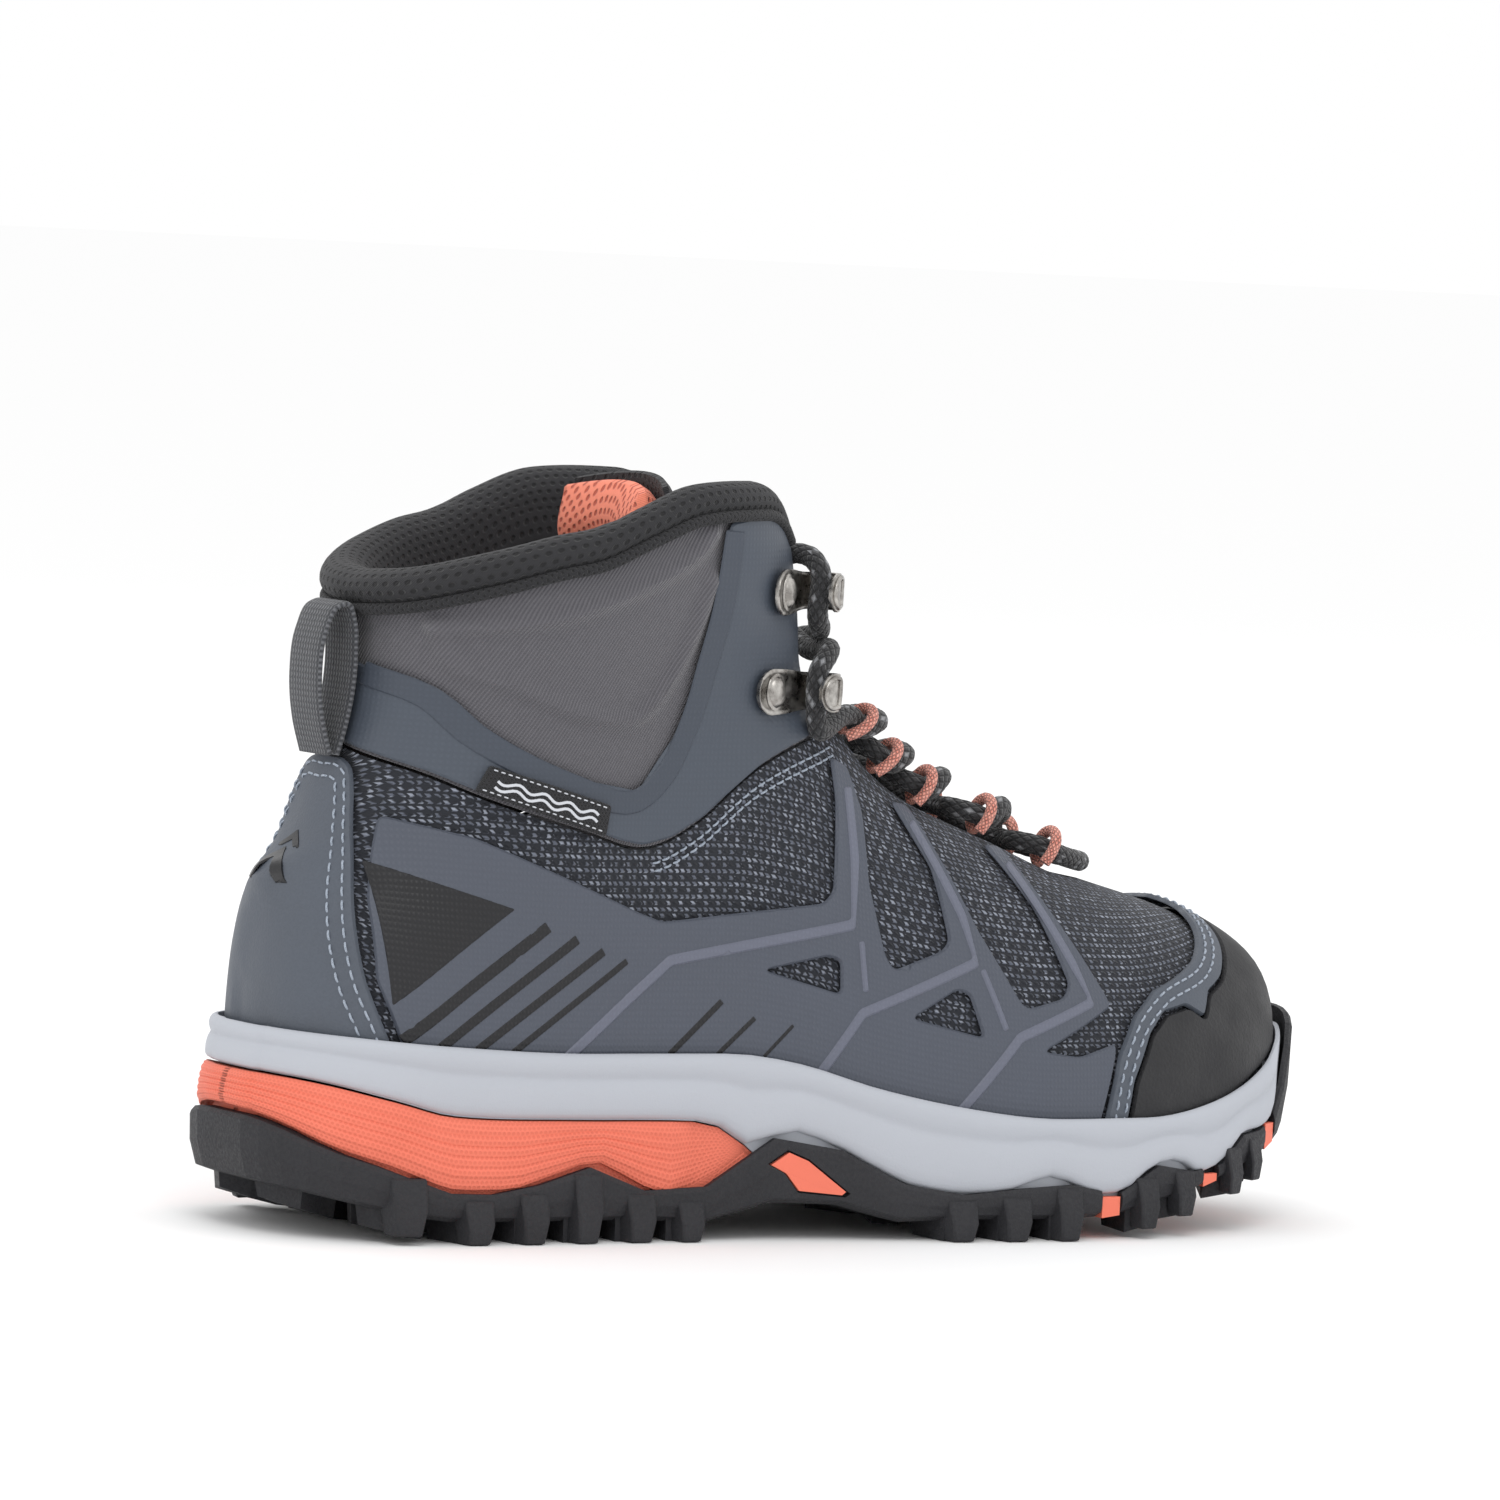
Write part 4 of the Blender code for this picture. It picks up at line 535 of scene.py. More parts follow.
# ---------------------------------------------------------------- materials
class Look:
    """A material built node by node. UVs are millimetres on the piece."""

    def __init__(self, name, colour, rough, metal=0.0, sheen=0.0, specular=0.5):
        self.made = bpy.data.materials.new(name)
        self.made.use_nodes = True
        self.tree = self.made.node_tree
        self.shader = self.tree.nodes["Principled BSDF"]
        self.shader.inputs["Base Color"].default_value = (*colour, 1)
        self.shader.inputs["Roughness"].default_value = rough
        self.shader.inputs["Metallic"].default_value = metal
        self.shader.inputs["Sheen Weight"].default_value = sheen
        self.shader.inputs["Specular IOR Level"].default_value = specular
        self.made.diffuse_color = (*colour, 1)
        self.bumped = None

    def put(self, socket, value):
        if isinstance(value, bpy.types.NodeSocket):
            self.tree.links.new(value, socket)
        else:
            socket.default_value = value

    def op(self, kind, *values):
        node = self.tree.nodes.new("ShaderNodeMath")
        node.operation = kind
        for socket, value in zip(node.inputs, values):
            self.put(socket, value)
        return node.outputs[0]

    def times(self, a, b):
        return self.op("MULTIPLY", a, b)

    def scaled(self, value, factor, added):
        return self.op("MULTIPLY_ADD", value, factor, added)

    def uv(self):
        node = self.tree.nodes.new("ShaderNodeUVMap")
        node.uv_map = "mm"
        apart = self.tree.nodes.new("ShaderNodeSeparateXYZ")
        self.tree.links.new(node.outputs[0], apart.inputs[0])
        return apart.outputs[0], apart.outputs[1]

    def place(self):
        """The position on the object, in millimetres."""
        node = self.tree.nodes.new("ShaderNodeTexCoord")
        larger = self.tree.nodes.new("ShaderNodeVectorMath")
        larger.operation = "SCALE"
        self.tree.links.new(node.outputs["Object"], larger.inputs[0])
        larger.inputs["Scale"].default_value = 1 / MM
        return larger.outputs[0]

    def combine(self, x, y, z=0.0):
        node = self.tree.nodes.new("ShaderNodeCombineXYZ")
        for socket, value in zip(node.inputs, (x, y, z)):
            self.put(socket, value)
        return node.outputs[0]

    def noise(self, vector, scale, detail=2.0, rough=0.5):
        node = self.tree.nodes.new("ShaderNodeTexNoise")
        self.tree.links.new(vector, node.inputs["Vector"])
        node.inputs["Scale"].default_value = scale
        node.inputs["Detail"].default_value = detail
        node.inputs["Roughness"].default_value = rough
        return node.outputs["Fac"]

    def cells(self, vector, scale):
        node = self.tree.nodes.new("ShaderNodeTexVoronoi")
        node.feature = "SMOOTH_F1"
        self.tree.links.new(vector, node.inputs["Vector"])
        node.inputs["Scale"].default_value = scale
        return node.outputs["Distance"]

    def hash(self, vector):
        node = self.tree.nodes.new("ShaderNodeTexWhiteNoise")
        self.tree.links.new(vector, node.inputs["Vector"])
        return node.outputs["Value"]

    def step(self, value, low, high, to_low=0.0, to_high=1.0):
        node = self.tree.nodes.new("ShaderNodeMapRange")
        node.interpolation_type = "SMOOTHSTEP"
        for socket, given in zip(node.inputs, (value, low, high, to_low, to_high)):
            self.put(socket, given)
        return node.outputs[0]

    def mix(self, factor, a, b):
        node = self.tree.nodes.new("ShaderNodeMix")
        node.data_type = "RGBA"
        self.put(node.inputs["Factor"], factor)
        for socket, value in zip((node.inputs[6], node.inputs[7]), (a, b)):
            self.put(socket, (*value, 1) if isinstance(value, tuple) else value)
        return node.outputs[2]

    def bump(self, height, distance):
        """distance in millimetres; a later bump goes on top of the earlier ones."""
        node = self.tree.nodes.new("ShaderNodeBump")
        node.inputs["Distance"].default_value = distance * MM
        self.tree.links.new(height, node.inputs["Height"])
        if self.bumped:
            self.tree.links.new(self.bumped, node.inputs["Normal"])
        self.bumped = node.outputs[0]
        self.tree.links.new(self.bumped, self.shader.inputs["Normal"])

    def colour(self, value):
        self.put(self.shader.inputs["Base Color"], value)

    def rough(self, value):
        self.put(self.shader.inputs["Roughness"], value)


def tint(colour, share):
    return tuple(min(1, c * share) for c in colour)


def wave(look, value, period):
    """0 to 1 and back over a period."""
    return look.scaled(look.op("SINE", look.scaled(value, 2 * math.pi / period, 0.0)), 0.5, 0.5)


def lattice(look, u, v, wide, high):
    """0 at the middle of the dots of an offset lattice, rising outward to about 0.7."""
    b = look.op("DIVIDE", v, high)
    row = look.op("FLOOR", b)
    shift = look.times(look.op("MODULO", look.op("ABSOLUTE", row), 2.0), 0.5)
    a = look.op("ADD", look.op("DIVIDE", u, wide), shift)
    across = look.op("SUBTRACT", look.op("FRACT", a), 0.5)
    up = look.op("SUBTRACT", look.op("FRACT", b), 0.5)
    return look.op("SQRT", look.op("ADD", look.times(across, across), look.times(up, up)))


def knit_look():
    look = Look("black_grey_knit", (0.05, 0.055, 0.07), 0.85, sheen=0.1)
    u, v = look.uv()
    wobble = look.noise(look.combine(u, v), 0.3, 2)
    u = look.scaled(wobble, 1.3, u)
    zigzag = look.op("PINGPONG", look.op("DIVIDE", v, 1.35), 0.5)
    slanted = look.scaled(zigzag, 1.1, u)
    strand = wave(look, slanted, 1.5)
    rung = wave(look, look.scaled(zigzag, 0.5, v), 1.35)
    fleck = look.hash(look.combine(look.op("FLOOR", look.op("DIVIDE", slanted, 1.5)),
                                   look.op("FLOOR", look.op("DIVIDE", v, 1.35))))
    stroke = look.times(look.step(strand, 0.2, 0.55), look.step(rung, 0.02, 0.3))
    dots = look.step(lattice(look, u, v, 3.1, 2.8), 0.22, 0.38)
    light = look.times(stroke, dots)
    thread = look.mix(look.step(fleck, 0.45, 0.98), (0.105, 0.118, 0.155), (0.29, 0.315, 0.38))
    look.colour(look.mix(light, (0.01, 0.012, 0.018), thread))
    look.bump(look.scaled(light, 0.6, look.times(look.times(strand, rung), 0.4)), 0.6)
    return look.made


def twill_look():
    look = Look("grey_twill", (0.105, 0.1, 0.115), 0.75, sheen=0.25)
    u, v = look.uv()
    line = wave(look, look.scaled(v, 0.55, u), 0.72)
    cross = wave(look, look.scaled(v, -1.4, u), 0.9)
    mottle = look.noise(look.combine(u, v), 0.6, 3)
    shade = look.scaled(mottle, 0.3, look.times(line, 0.55))
    look.colour(look.mix(shade, (0.062, 0.06, 0.07), (0.14, 0.135, 0.15)))
    look.bump(look.scaled(cross, 0.3, line), 0.16)
    return look.made


def film_look(name, colour, rough=0.5, ribs=0.05, wear=0.12):
    """Welded film: the knit under it shows as faint ribs."""
    look = Look(name, colour, rough, specular=0.4)
    u, v = look.uv()
    grain = look.noise(look.combine(u, v), 1.1, 3)
    rib = look.times(wave(look, look.scaled(grain, 0.5, u), 0.95), wave(look, v, 1.25))
    cloud = look.noise(look.combine(u, v), 0.07, 3)
    shade = look.scaled(look.op("SUBTRACT", cloud, 0.5), wear * 2.2, look.times(rib, wear))
    look.colour(look.mix(shade, tint(colour, 0.93), tint(colour, 1.6)))
    look.rough(look.step(cloud, 0.3, 0.7, rough - 0.06, rough + 0.08))
    look.bump(rib, ribs)
    return look.made


def leather_look(name, colour, rough, grain=1.9, depth=0.06):
    look = Look(name, colour, rough, specular=0.45)
    where = look.place()
    pebble = look.cells(where, grain)
    cloud = look.noise(where, 0.08, 4)
    fine = look.noise(where, 3.5, 3)
    look.colour(look.mix(look.scaled(pebble, 0.3, look.times(cloud, 0.6)),
                         tint(colour, 0.78), tint(colour, 1.3)))
    look.rough(look.step(cloud, 0.3, 0.7, rough - 0.07, rough + 0.1))
    look.bump(look.scaled(fine, 0.5, pebble), depth)
    return look.made


def mesh_look(name, dark, light, wide=2.3, high=1.9):
    """Spacer mesh with rows of small holes."""
    look = Look(name, light, 0.85, sheen=0.08)
    u, v = look.uv()
    hole = lattice(look, u, v, wide, high)
    yarn = wave(look, look.op("ADD", u, v), 0.55)
    solid = look.step(hole, 0.16, 0.34)
    look.colour(look.mix(look.times(solid, look.scaled(yarn, 0.35, 0.65)), dark, light))
    look.bump(look.scaled(yarn, 0.12, solid), 0.6)
    return look.made


def foam_look(name, colour, rough=0.6, stain=0.1):
    look = Look(name, colour, rough, specular=0.35)
    where = look.place()
    cloud = look.noise(where, 0.035, 4)
    fine = look.noise(where, 2.2, 4, 0.7)
    look.colour(look.mix(look.scaled(cloud, 0.6, look.times(fine, 0.3)),
                         tint(colour, 1 - stain), tint(colour, 1 + stain * 0.7)))
    look.rough(look.step(cloud, 0.3, 0.7, rough - 0.06, rough + 0.1))
    look.bump(fine, 0.06)
    return look.made


def rubber_look():
    look = Look("charcoal_rubber", (0.042, 0.042, 0.048), 0.62, specular=0.4)
    where = look.place()
    crinkle = look.noise(where, 1.4, 5, 0.65)
    dust = look.noise(where, 0.06, 4)
    look.colour(look.mix(look.scaled(dust, 0.7, look.times(crinkle, 0.35)),
                         (0.009, 0.009, 0.011), (0.032, 0.032, 0.037)))
    look.rough(look.step(crinkle, 0.3, 0.7, 0.5, 0.78))
    look.bump(crinkle, 0.3)
    return look.made


def webbing_look():
    look = Look("grey_webbing", (0.09, 0.095, 0.105), 0.85, sheen=0.2)
    u, v = look.uv()
    rib = wave(look, u, 1.1)
    pick = wave(look, look.scaled(look.op("GREATER_THAN", rib, 0.5), 0.6, v), 1.2)
    weave = look.times(rib, pick)
    look.colour(look.mix(weave, (0.035, 0.037, 0.043), (0.15, 0.155, 0.17)))
    look.bump(weave, 0.35)
    return look.made


def cord_look(name, dark, light, fleck, around, braid=2.2):
    """Braided cord: u runs round it and v along it, in millimetres."""
    look = Look(name, dark, 0.75, sheen=0.2)
    u, v = look.uv()
    one = look.op("ADD", look.op("DIVIDE", u, around / 8), look.op("DIVIDE", v, braid))
    other = look.op("SUBTRACT", look.op("DIVIDE", u, around / 8), look.op("DIVIDE", v, braid))
    a = look.op("PINGPONG", one, 0.5)
    b = look.op("PINGPONG", other, 0.5)
    plait = look.times(look.step(a, 0.02, 0.3), look.step(b, 0.02, 0.3))
    key = look.hash(look.combine(look.op("FLOOR", one), look.op("FLOOR", other)))
    speck = look.op("GREATER_THAN", key, fleck)
    look.colour(look.mix(look.times(speck, look.scaled(plait, 0.7, 0.3)),
                         look.mix(plait, tint(dark, 0.35), dark), light))
    look.bump(plait, 0.35)
    return look.made


def nickel_look():
    look = Look("antique_nickel", (0.42, 0.4, 0.38), 0.3, metal=1.0)
    where = look.place()
    worn = look.noise(where, 0.35, 5, 0.6)
    fine = look.noise(where, 6.0, 3)
    look.colour(look.mix(look.step(worn, 0.35, 0.7), (0.24, 0.225, 0.21), (0.56, 0.54, 0.51)))
    look.rough(look.step(worn, 0.3, 0.7, 0.22, 0.42))
    look.bump(fine, 0.02)
    return look.made


def thread_look():
    look = Look("blue_grey_thread", (0.3, 0.34, 0.4), 0.6, sheen=0.2)
    twist = wave(look, look.noise(look.place(), 2.5, 2), 0.2)
    look.colour(look.mix(twist, (0.2, 0.235, 0.29), (0.4, 0.45, 0.53)))
    return look.made


def fabric_look(name, dark, light):
    look = Look(name, light, 0.9, sheen=0.3)
    where = look.place()
    fuzz = look.noise(where, 1.8, 4, 0.7)
    look.colour(look.mix(fuzz, dark, light))
    look.bump(fuzz, 0.25)
    return look.made


def wedge_look():
    look = Look("coral_wedge_foam", (0.95, 0.235, 0.15), 0.55, specular=0.35)
    u, v = look.uv()
    dots = look.step(lattice(look, u, v, 1.1, 0.8), 0.2, 0.45)
    cloud = look.noise(look.place(), 0.05, 3)
    look.colour(look.mix(look.scaled(dots, 0.4, look.times(cloud, 0.6)),
                         (0.7, 0.14, 0.08), (0.92, 0.225, 0.145)))
    look.bump(dots, 0.12)
    return look.made


KNITTED = knit_look()
TWILL = twill_look()
FILM_BLUE = film_look("blue_grey_film", (0.066, 0.079, 0.102))
FILM_BAND = film_look("dark_film_band", (0.055, 0.066, 0.087))
OVERLAY_BLUE = film_look("blue_grey_overlay", (0.078, 0.088, 0.114), ribs=0.09)
LINE_PRINT = film_look("lilac_grey_print", (0.135, 0.145, 0.19), ribs=0.04)
DARK_PRINT = film_look("black_print", (0.011, 0.011, 0.013), rough=0.45, ribs=0.14, wear=0.5)
LEATHER = leather_look("blue_grey_leather", (0.074, 0.086, 0.108), 0.52)
CAP_BLACK = leather_look("black_leather", (0.015, 0.015, 0.017), 0.6, grain=1.3, depth=0.14)
MARK_BLACK = leather_look("black_gloss_print", (0.012, 0.012, 0.014), 0.32, depth=0.03)
BLACK_MESH = mesh_look("black_mesh", (0.006, 0.006, 0.007), (0.021, 0.021, 0.024))
BLACK_BINDING = mesh_look("black_binding", (0.005, 0.005, 0.006), (0.017, 0.017, 0.02), 1.3, 1.1)
CORAL_MESH = mesh_look("coral_mesh", (0.55, 0.1, 0.055), (1.0, 0.3, 0.19), 2.5, 2.0)
TAG = mesh_look("black_tag", (0.006, 0.006, 0.007), (0.02, 0.02, 0.023), 0.8, 0.7)
TAG_PRINT = foam_look("white_print", (0.6, 0.62, 0.66))
FOAM = foam_look("light_grey_foam", (0.46, 0.48, 0.525), stain=0.06)
CORAL = foam_look("coral_foam", (0.88, 0.2, 0.125), 0.55)
WEDGE_CORAL = wedge_look()
RUBBER = rubber_look()
WEBBING = webbing_look()
LACE_CORD = cord_look("black_cord", (0.024, 0.024, 0.027), (0.24, 0.245, 0.26), 0.86,
                      2 * math.pi * LACE_R)
LOOP_CORD = cord_look("coral_cord", (0.86, 0.3, 0.225), (0.95, 0.4, 0.31), 0.4,
                      2 * math.pi * LOOP_R, 1.2)
NICKEL = nickel_look()
THREAD = thread_look()
LINING = fabric_look("grey_lining", (0.1, 0.1, 0.11), (0.24, 0.24, 0.26))
STIFF = foam_look("white_stiffener", (0.72, 0.72, 0.7))
BOARD = fabric_look("board", (0.4, 0.36, 0.3), (0.6, 0.55, 0.46))


# ---------------------------------------------------------------- pieces
def piece(name, points, faces, look, uv=None, body="boot", stands_for=(), slot=None, sharp=35):
    mesh = bpy.data.meshes.new(name)
    mesh.from_pydata(((np.asarray(points) - ORIGIN) * MM).tolist(), [], faces)
    if uv is not None:
        layer = mesh.uv_layers.new(name="mm")
        corner = np.empty(len(mesh.loops), np.int32)
        mesh.loops.foreach_get("vertex_index", corner)
        layer.data.foreach_set("uv", np.asarray(uv, np.float32)[corner].ravel())
    mesh.materials.append(look)
    work = bmesh.new()
    work.from_mesh(mesh)
    bmesh.ops.recalc_face_normals(work, faces=work.faces)
    if work.calc_volume(signed=True) < 0:
        bmesh.ops.reverse_faces(work, faces=work.faces)
    work.to_mesh(mesh)
    work.free()
    mesh.shade_smooth()
    mesh.set_sharp_from_angle(angle=math.radians(sharp))
    made = bpy.data.objects.new(name, mesh)
    bpy.context.scene.collection.objects.link(made)
    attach(made, body)
    if stands_for:
        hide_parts(*stands_for)
    return made


def ring_faces(rows, around):
    """The faces of rings joined into one closed body, with a flat cap at each end."""
    last = (rows - 1) * around
    return grid_faces(rows, around, True) + [tuple(range(around)),
                                             tuple(range(last, last + around))]


def grid_faces(rows, columns, closed_columns=False, start=0):
    faces = []
    for r in range(rows - 1):
        for c in range(columns if closed_columns else columns - 1):
            a, b = r * columns + c, r * columns + (c + 1) % columns
            faces.append((start + a, start + b, start + b + columns, start + a + columns))
    return faces


def shell(name, outer, inner, look, uv, closed=False, **more):
    """A closed sheet between two grids of points."""
    rows, columns = outer.shape[:2]
    under = rows * columns
    faces = grid_faces(rows, columns, closed)
    faces += [tuple(i + under for i in f[::-1]) for f in faces]
    spans = columns if closed else columns - 1
    for r in (0, rows - 1):
        for c in range(spans):
            a, b = r * columns + c, r * columns + (c + 1) % columns
            faces.append((a, b, b + under, a + under))
    if not closed:
        for c in (0, columns - 1):
            for r in range(rows - 1):
                a, b = r * columns + c, (r + 1) * columns + c
                faces.append((a, b, b + under, a + under))
    flat = np.concatenate([uv.reshape(-1, 2)] * 2)
    return piece(name, np.concatenate([outer.reshape(-1, 3), inner.reshape(-1, 3)]), faces, look,
                 flat, **more)


def rounded(outline, radius):
    """The outline with its corners rounded, as far as its sides allow."""
    outline = np.array(outline, float)
    made = []
    for before, here, after in zip(np.roll(outline, 1, 0), outline, np.roll(outline, -1, 0)):
        a, b = before - here, after - here
        la, lb = np.linalg.norm(a), np.linalg.norm(b)
        cut = min(radius, la * 0.42, lb * 0.42)
        start, end = here + a / la * cut, here + b / lb * cut
        for t in (0.0, 0.25, 0.5, 0.75, 1.0):
            made.append((1 - t)**2 * start + 2 * t * (1 - t) * here + t * t * end)
    return np.array(made)


def inset(loop, distance):
    """The loop moved inward, to its left or right as its turn says."""
    along = np.roll(loop, -1, 0) - np.roll(loop, 1, 0)
    along /= np.linalg.norm(along, axis=1, keepdims=True) + 1e-9
    left = np.stack([-along[:, 1], along[:, 0]], -1)
    area = (loop[:, 0] * np.roll(loop[:, 1], -1) - np.roll(loop[:, 0], -1) * loop[:, 1]).sum()
    return loop + left * distance * np.sign(area)


def distance_to(points, loop):
    """How far each point is from a closed loop."""
    best = np.full(len(points), 1e9)
    for a, b in zip(loop, np.roll(loop, -1, 0)):
        side = b - a
        t = np.clip(((points - a) @ side) / (side @ side + 1e-12), 0, 1)
        best = np.minimum(best, np.linalg.norm(points - a - t[:, None] * side, axis=1))
    return best


def conform(name, outline, place, thickness, look, holes=(), spacing=2.4, radius=1.5, bevel=0.45,
            uv_of=None, **more):
    """A film with a rounded edge, cut to an outline with holes, laid by place(a, b, distance)."""
    loops = [split_edges(rounded(loop, radius), spacing) for loop in (outline, *holes)]
    rims = np.concatenate(loops)
    edges, start = [], 0
    for loop in loops:
        edges += [(start + i, start + (i + 1) % len(loop)) for i in range(len(loop))]
        start += len(loop)
    second = np.concatenate([inset(loops[0], bevel)] + [inset(loop, -bevel) for loop in loops[1:]])
    low, high = loops[0].min(0), loops[0].max(0)
    grid = np.stack(np.meshgrid(*(np.arange(a + spacing / 2, b, spacing)
                                  for a, b in zip(low, high))), -1).reshape(-1, 2)

    def on_film(points):
        return np.all([inside(points, loop) == (loop is loops[0]) for loop in loops], axis=0)

    def from_edge(points):
        return np.min([distance_to(points, loop) for loop in loops], axis=0)

    def kept(points, clear):
        return points[on_film(points) & (from_edge(points) > clear)]

    points = np.concatenate([rims, kept(second, bevel * 0.8), kept(grid, bevel + spacing * 0.35)])
    made = delaunay_2d_cdt([Vector(p) for p in points], edges, [], 0, 1e-5)
    flat = np.array([tuple(v) for v in made[0]])
    triangles = np.array([face for face in made[2]])
    triangles = triangles[on_film(flat[triangles].mean(1))]
    sides = np.concatenate([triangles[:, [0, 1]], triangles[:, [1, 2]], triangles[:, [2, 0]]])
    _, first, count = np.unique(np.sort(sides, 1), axis=0, return_index=True, return_counts=True)
    rim_edges = sides[first[count == 1]]
    full = np.clip(from_edge(flat) / bevel, 0, 1) ** 0.5
    outer = thickness[1] + (thickness[0] - thickness[1]) * (0.25 + 0.75 * full)
    under = len(flat)
    faces = [tuple(t) for t in triangles.tolist()]
    faces += [tuple(q + under for q in t[::-1]) for t in triangles.tolist()]
    faces += [(a, b, b + under, a + under) for a, b in rim_edges.tolist()]
    top = lifted(place(flat[:, 0], flat[:, 1], 0.0), outer[:, None])
    bottom = place(flat[:, 0], flat[:, 1], thickness[1])
    uv = uv_of(top) if uv_of else flat
    return piece(name, np.concatenate([top, bottom]), faces, look, np.concatenate([uv, uv]), **more)


def tube(route, radius, sides=14, detail=None, start=0):
    """Points, faces and UVs of a round cord along a route of points."""
    along = unit(np.gradient(route, axis=0))
    up = np.array([0.0, 0.0, 1.0]) if abs(along[0, 2]) < 0.8 else np.array([0.0, 1.0, 0.0])
    frames = []
    for way in along:
        up = up - way * (up @ way)
        up /= np.linalg.norm(up)
        frames.append((np.cross(way, up), up))
    frames = np.array(frames)
    reach = reach_along(route)
    turn = np.linspace(0, 2 * math.pi, sides + 1)
    size = np.full((len(route), sides + 1), float(radius))
    if detail:
        size = size * detail(reach[:, None], turn[None])
    points = (route[:, None] + frames[:, None, 0] * (np.cos(turn)[None, :, None] * size[..., None])
              + frames[:, None, 1] * (np.sin(turn)[None, :, None] * size[..., None]))
    uv = np.stack(np.broadcast_arrays(turn[None] * radius, reach[:, None]), -1)
    count = len(route)
    faces = grid_faces(count, sides + 1, start=start)
    faces += [tuple(start + i for i in range(sides)),
              tuple(start + (count - 1) * (sides + 1) + i for i in range(sides))]
    return points.reshape(-1, 3), faces, uv.reshape(-1, 2)


def cords(name, routes, radius, look, sides=14, detail=None, **more):
    points, faces, uvs, start = [], [], [], 0
    for route in routes:
        p, f, uv = tube(route, radius, sides, detail, start)
        points.append(p)
        faces += f
        uvs.append(uv)
        start += len(p)
    return piece(name, np.concatenate(points), faces, look, np.concatenate(uvs), sharp=60, **more)


def stitches(name, lines, look=THREAD, length=2.3, gap=0.7, radius=0.26, **more):
    """Stitches along lines of points on the surface; each dips into the material at both ends."""
    dip = np.array([-0.45, 0.0, 0.16, 0.16, 0.0, -0.45])[:, None]
    routes = []
    for line in lines:
        reach = reach_along(line)
        start = 0.3
        while start + length < reach[-1]:
            at = np.linspace(start, start + length, len(dip))
            routes.append(lifted(np.stack([np.interp(at, reach, line[:, i]) for i in range(3)], -1),
                                 dip))
            start += length + gap
    return cords(name, routes, radius, look, sides=6, **more)


# ---------------------------------------------------------------- fabric coordinates
WRAP_X = np.linspace(10, 262, 64)
WRAP_TURN = np.radians(np.linspace(0, 90, 46))


def wrap_tables():
    tables = {}
    for side in (-1, 1):
        hub = np.stack([WRAP_X, centre(WRAP_X), welt(WRAP_X) - 6], -1)[:, None]
        way = np.stack([0 * WRAP_TURN, side * np.cos(WRAP_TURN), np.sin(WRAP_TURN)], -1)[None]
        spots = cast(np.broadcast_to(hub, (len(WRAP_X), len(WRAP_TURN), 3)),
                     np.broadcast_to(way, (len(WRAP_X), len(WRAP_TURN), 3)), 90.0)
        steps = np.linalg.norm(np.diff(spots, axis=1), axis=-1)
        tables[side] = np.concatenate([np.zeros((len(WRAP_X), 1)), np.cumsum(steps, 1)], 1)
    return tables


WRAP = wrap_tables()


def wrap_uv(points):
    """Distance along the boot and distance up round its section, for fabric on the foot."""
    points = np.asarray(points)
    x, y, z = points[..., 0], points[..., 1], points[..., 2]
    away = y - centre(x)
    turn = np.arctan2(z - welt(x) + 6, np.abs(away))
    i = np.clip((x - WRAP_X[0]) / (WRAP_X[1] - WRAP_X[0]), 0, len(WRAP_X) - 1.001)
    j = np.clip(turn / (WRAP_TURN[1] - WRAP_TURN[0]), 0, len(WRAP_TURN) - 1.001)
    i0, j0 = i.astype(int), j.astype(int)
    fi, fj = i - i0, j - j0
    up = np.zeros(x.shape)
    for side in (-1, 1):
        t = WRAP[side]
        value = ((t[i0, j0] * (1 - fj) + t[i0, j0 + 1] * fj) * (1 - fi)
                 + (t[i0 + 1, j0] * (1 - fj) + t[i0 + 1, j0 + 1] * fj) * fi)
        up = np.where((away < 0) == (side < 0), value, up)
    return np.stack([x, up], -1)


def flank(side):
    def place(x, z, distance=0.0):
        return side_point(x, z, side, distance)
    return place


# Millimetres to a degree round the shaft, the heel and the toe.
SHAFT_DEGREE = 0.6
HEEL_DEGREE = HEEL_RADIUS * math.pi / 180
TOE_DEGREE = TOE_RADIUS * math.pi / 180


def ankle(side):
    def place(turn_mm, z, distance=0.0):
        return shaft_point(side * turn_mm / SHAFT_DEGREE, z, distance)
    return place


def bands(line, width):
    """The outline of a band of a given width along a line of (a, b) points."""
    line = np.array(line, float)
    return np.concatenate([beside(line, width / 2), beside(line, -width / 2)[::-1]])


# ---------------------------------------------------------------- upper
def knit():
    grid = wall_grid(edge_path(42, 6, 33, knit_line, 108.5, 106.5), 34, 0.5)
    outer = grid_offset(grid, KNIT[0])
    inner = grid_offset(grid, KNIT[1])
    shell("knit_upper_skin", outer, inner, KNITTED, wrap_uv(outer), closed=True,
          stands_for=("knit_upper",), slot="black_grey_knit")
    raised = grid.copy()
    raised[0, :, 2] += 2.2
    lining = grid_offset(raised, BOOTIE[0])
    shell("bootie_lining", lining, grid_offset(raised, BOOTIE[1]), LINING, wrap_uv(lining),
          closed=True, stands_for=("inner_bootie",), slot="grey_lining")
    heel_part = np.concatenate([grid[1:23, -27:], grid[1:23, :27]], 1)
    toe_part = grid[1:17, COLUMNS - 24:COLUMNS + 24]
    for name, part, node in (("heel_stiffener", heel_part, "heel_counter"),
                             ("toe_stiffener", toe_part, "toe_puff")):
        face = lifted(part, STIFFENER[0])
        shell(name, face, lifted(part, STIFFENER[1]), STIFF, wrap_uv(face), stands_for=(node,),
              slot="white_stiffener")


# The ankle panel's embossed ridges, with their heights: one runs forward and up from the heel, the
# other bows below it.
SWOOSH = ((((92, 127), (80, 128.5), (66, 133), (54, 138.5), (44, 145), (41, 149)), 1.9),
          (((92, 127), (90, 120), (80, 115.5), (66, 110), (54, 110), (47, 118), (43, 128),
            (40, 139)), 1.6))


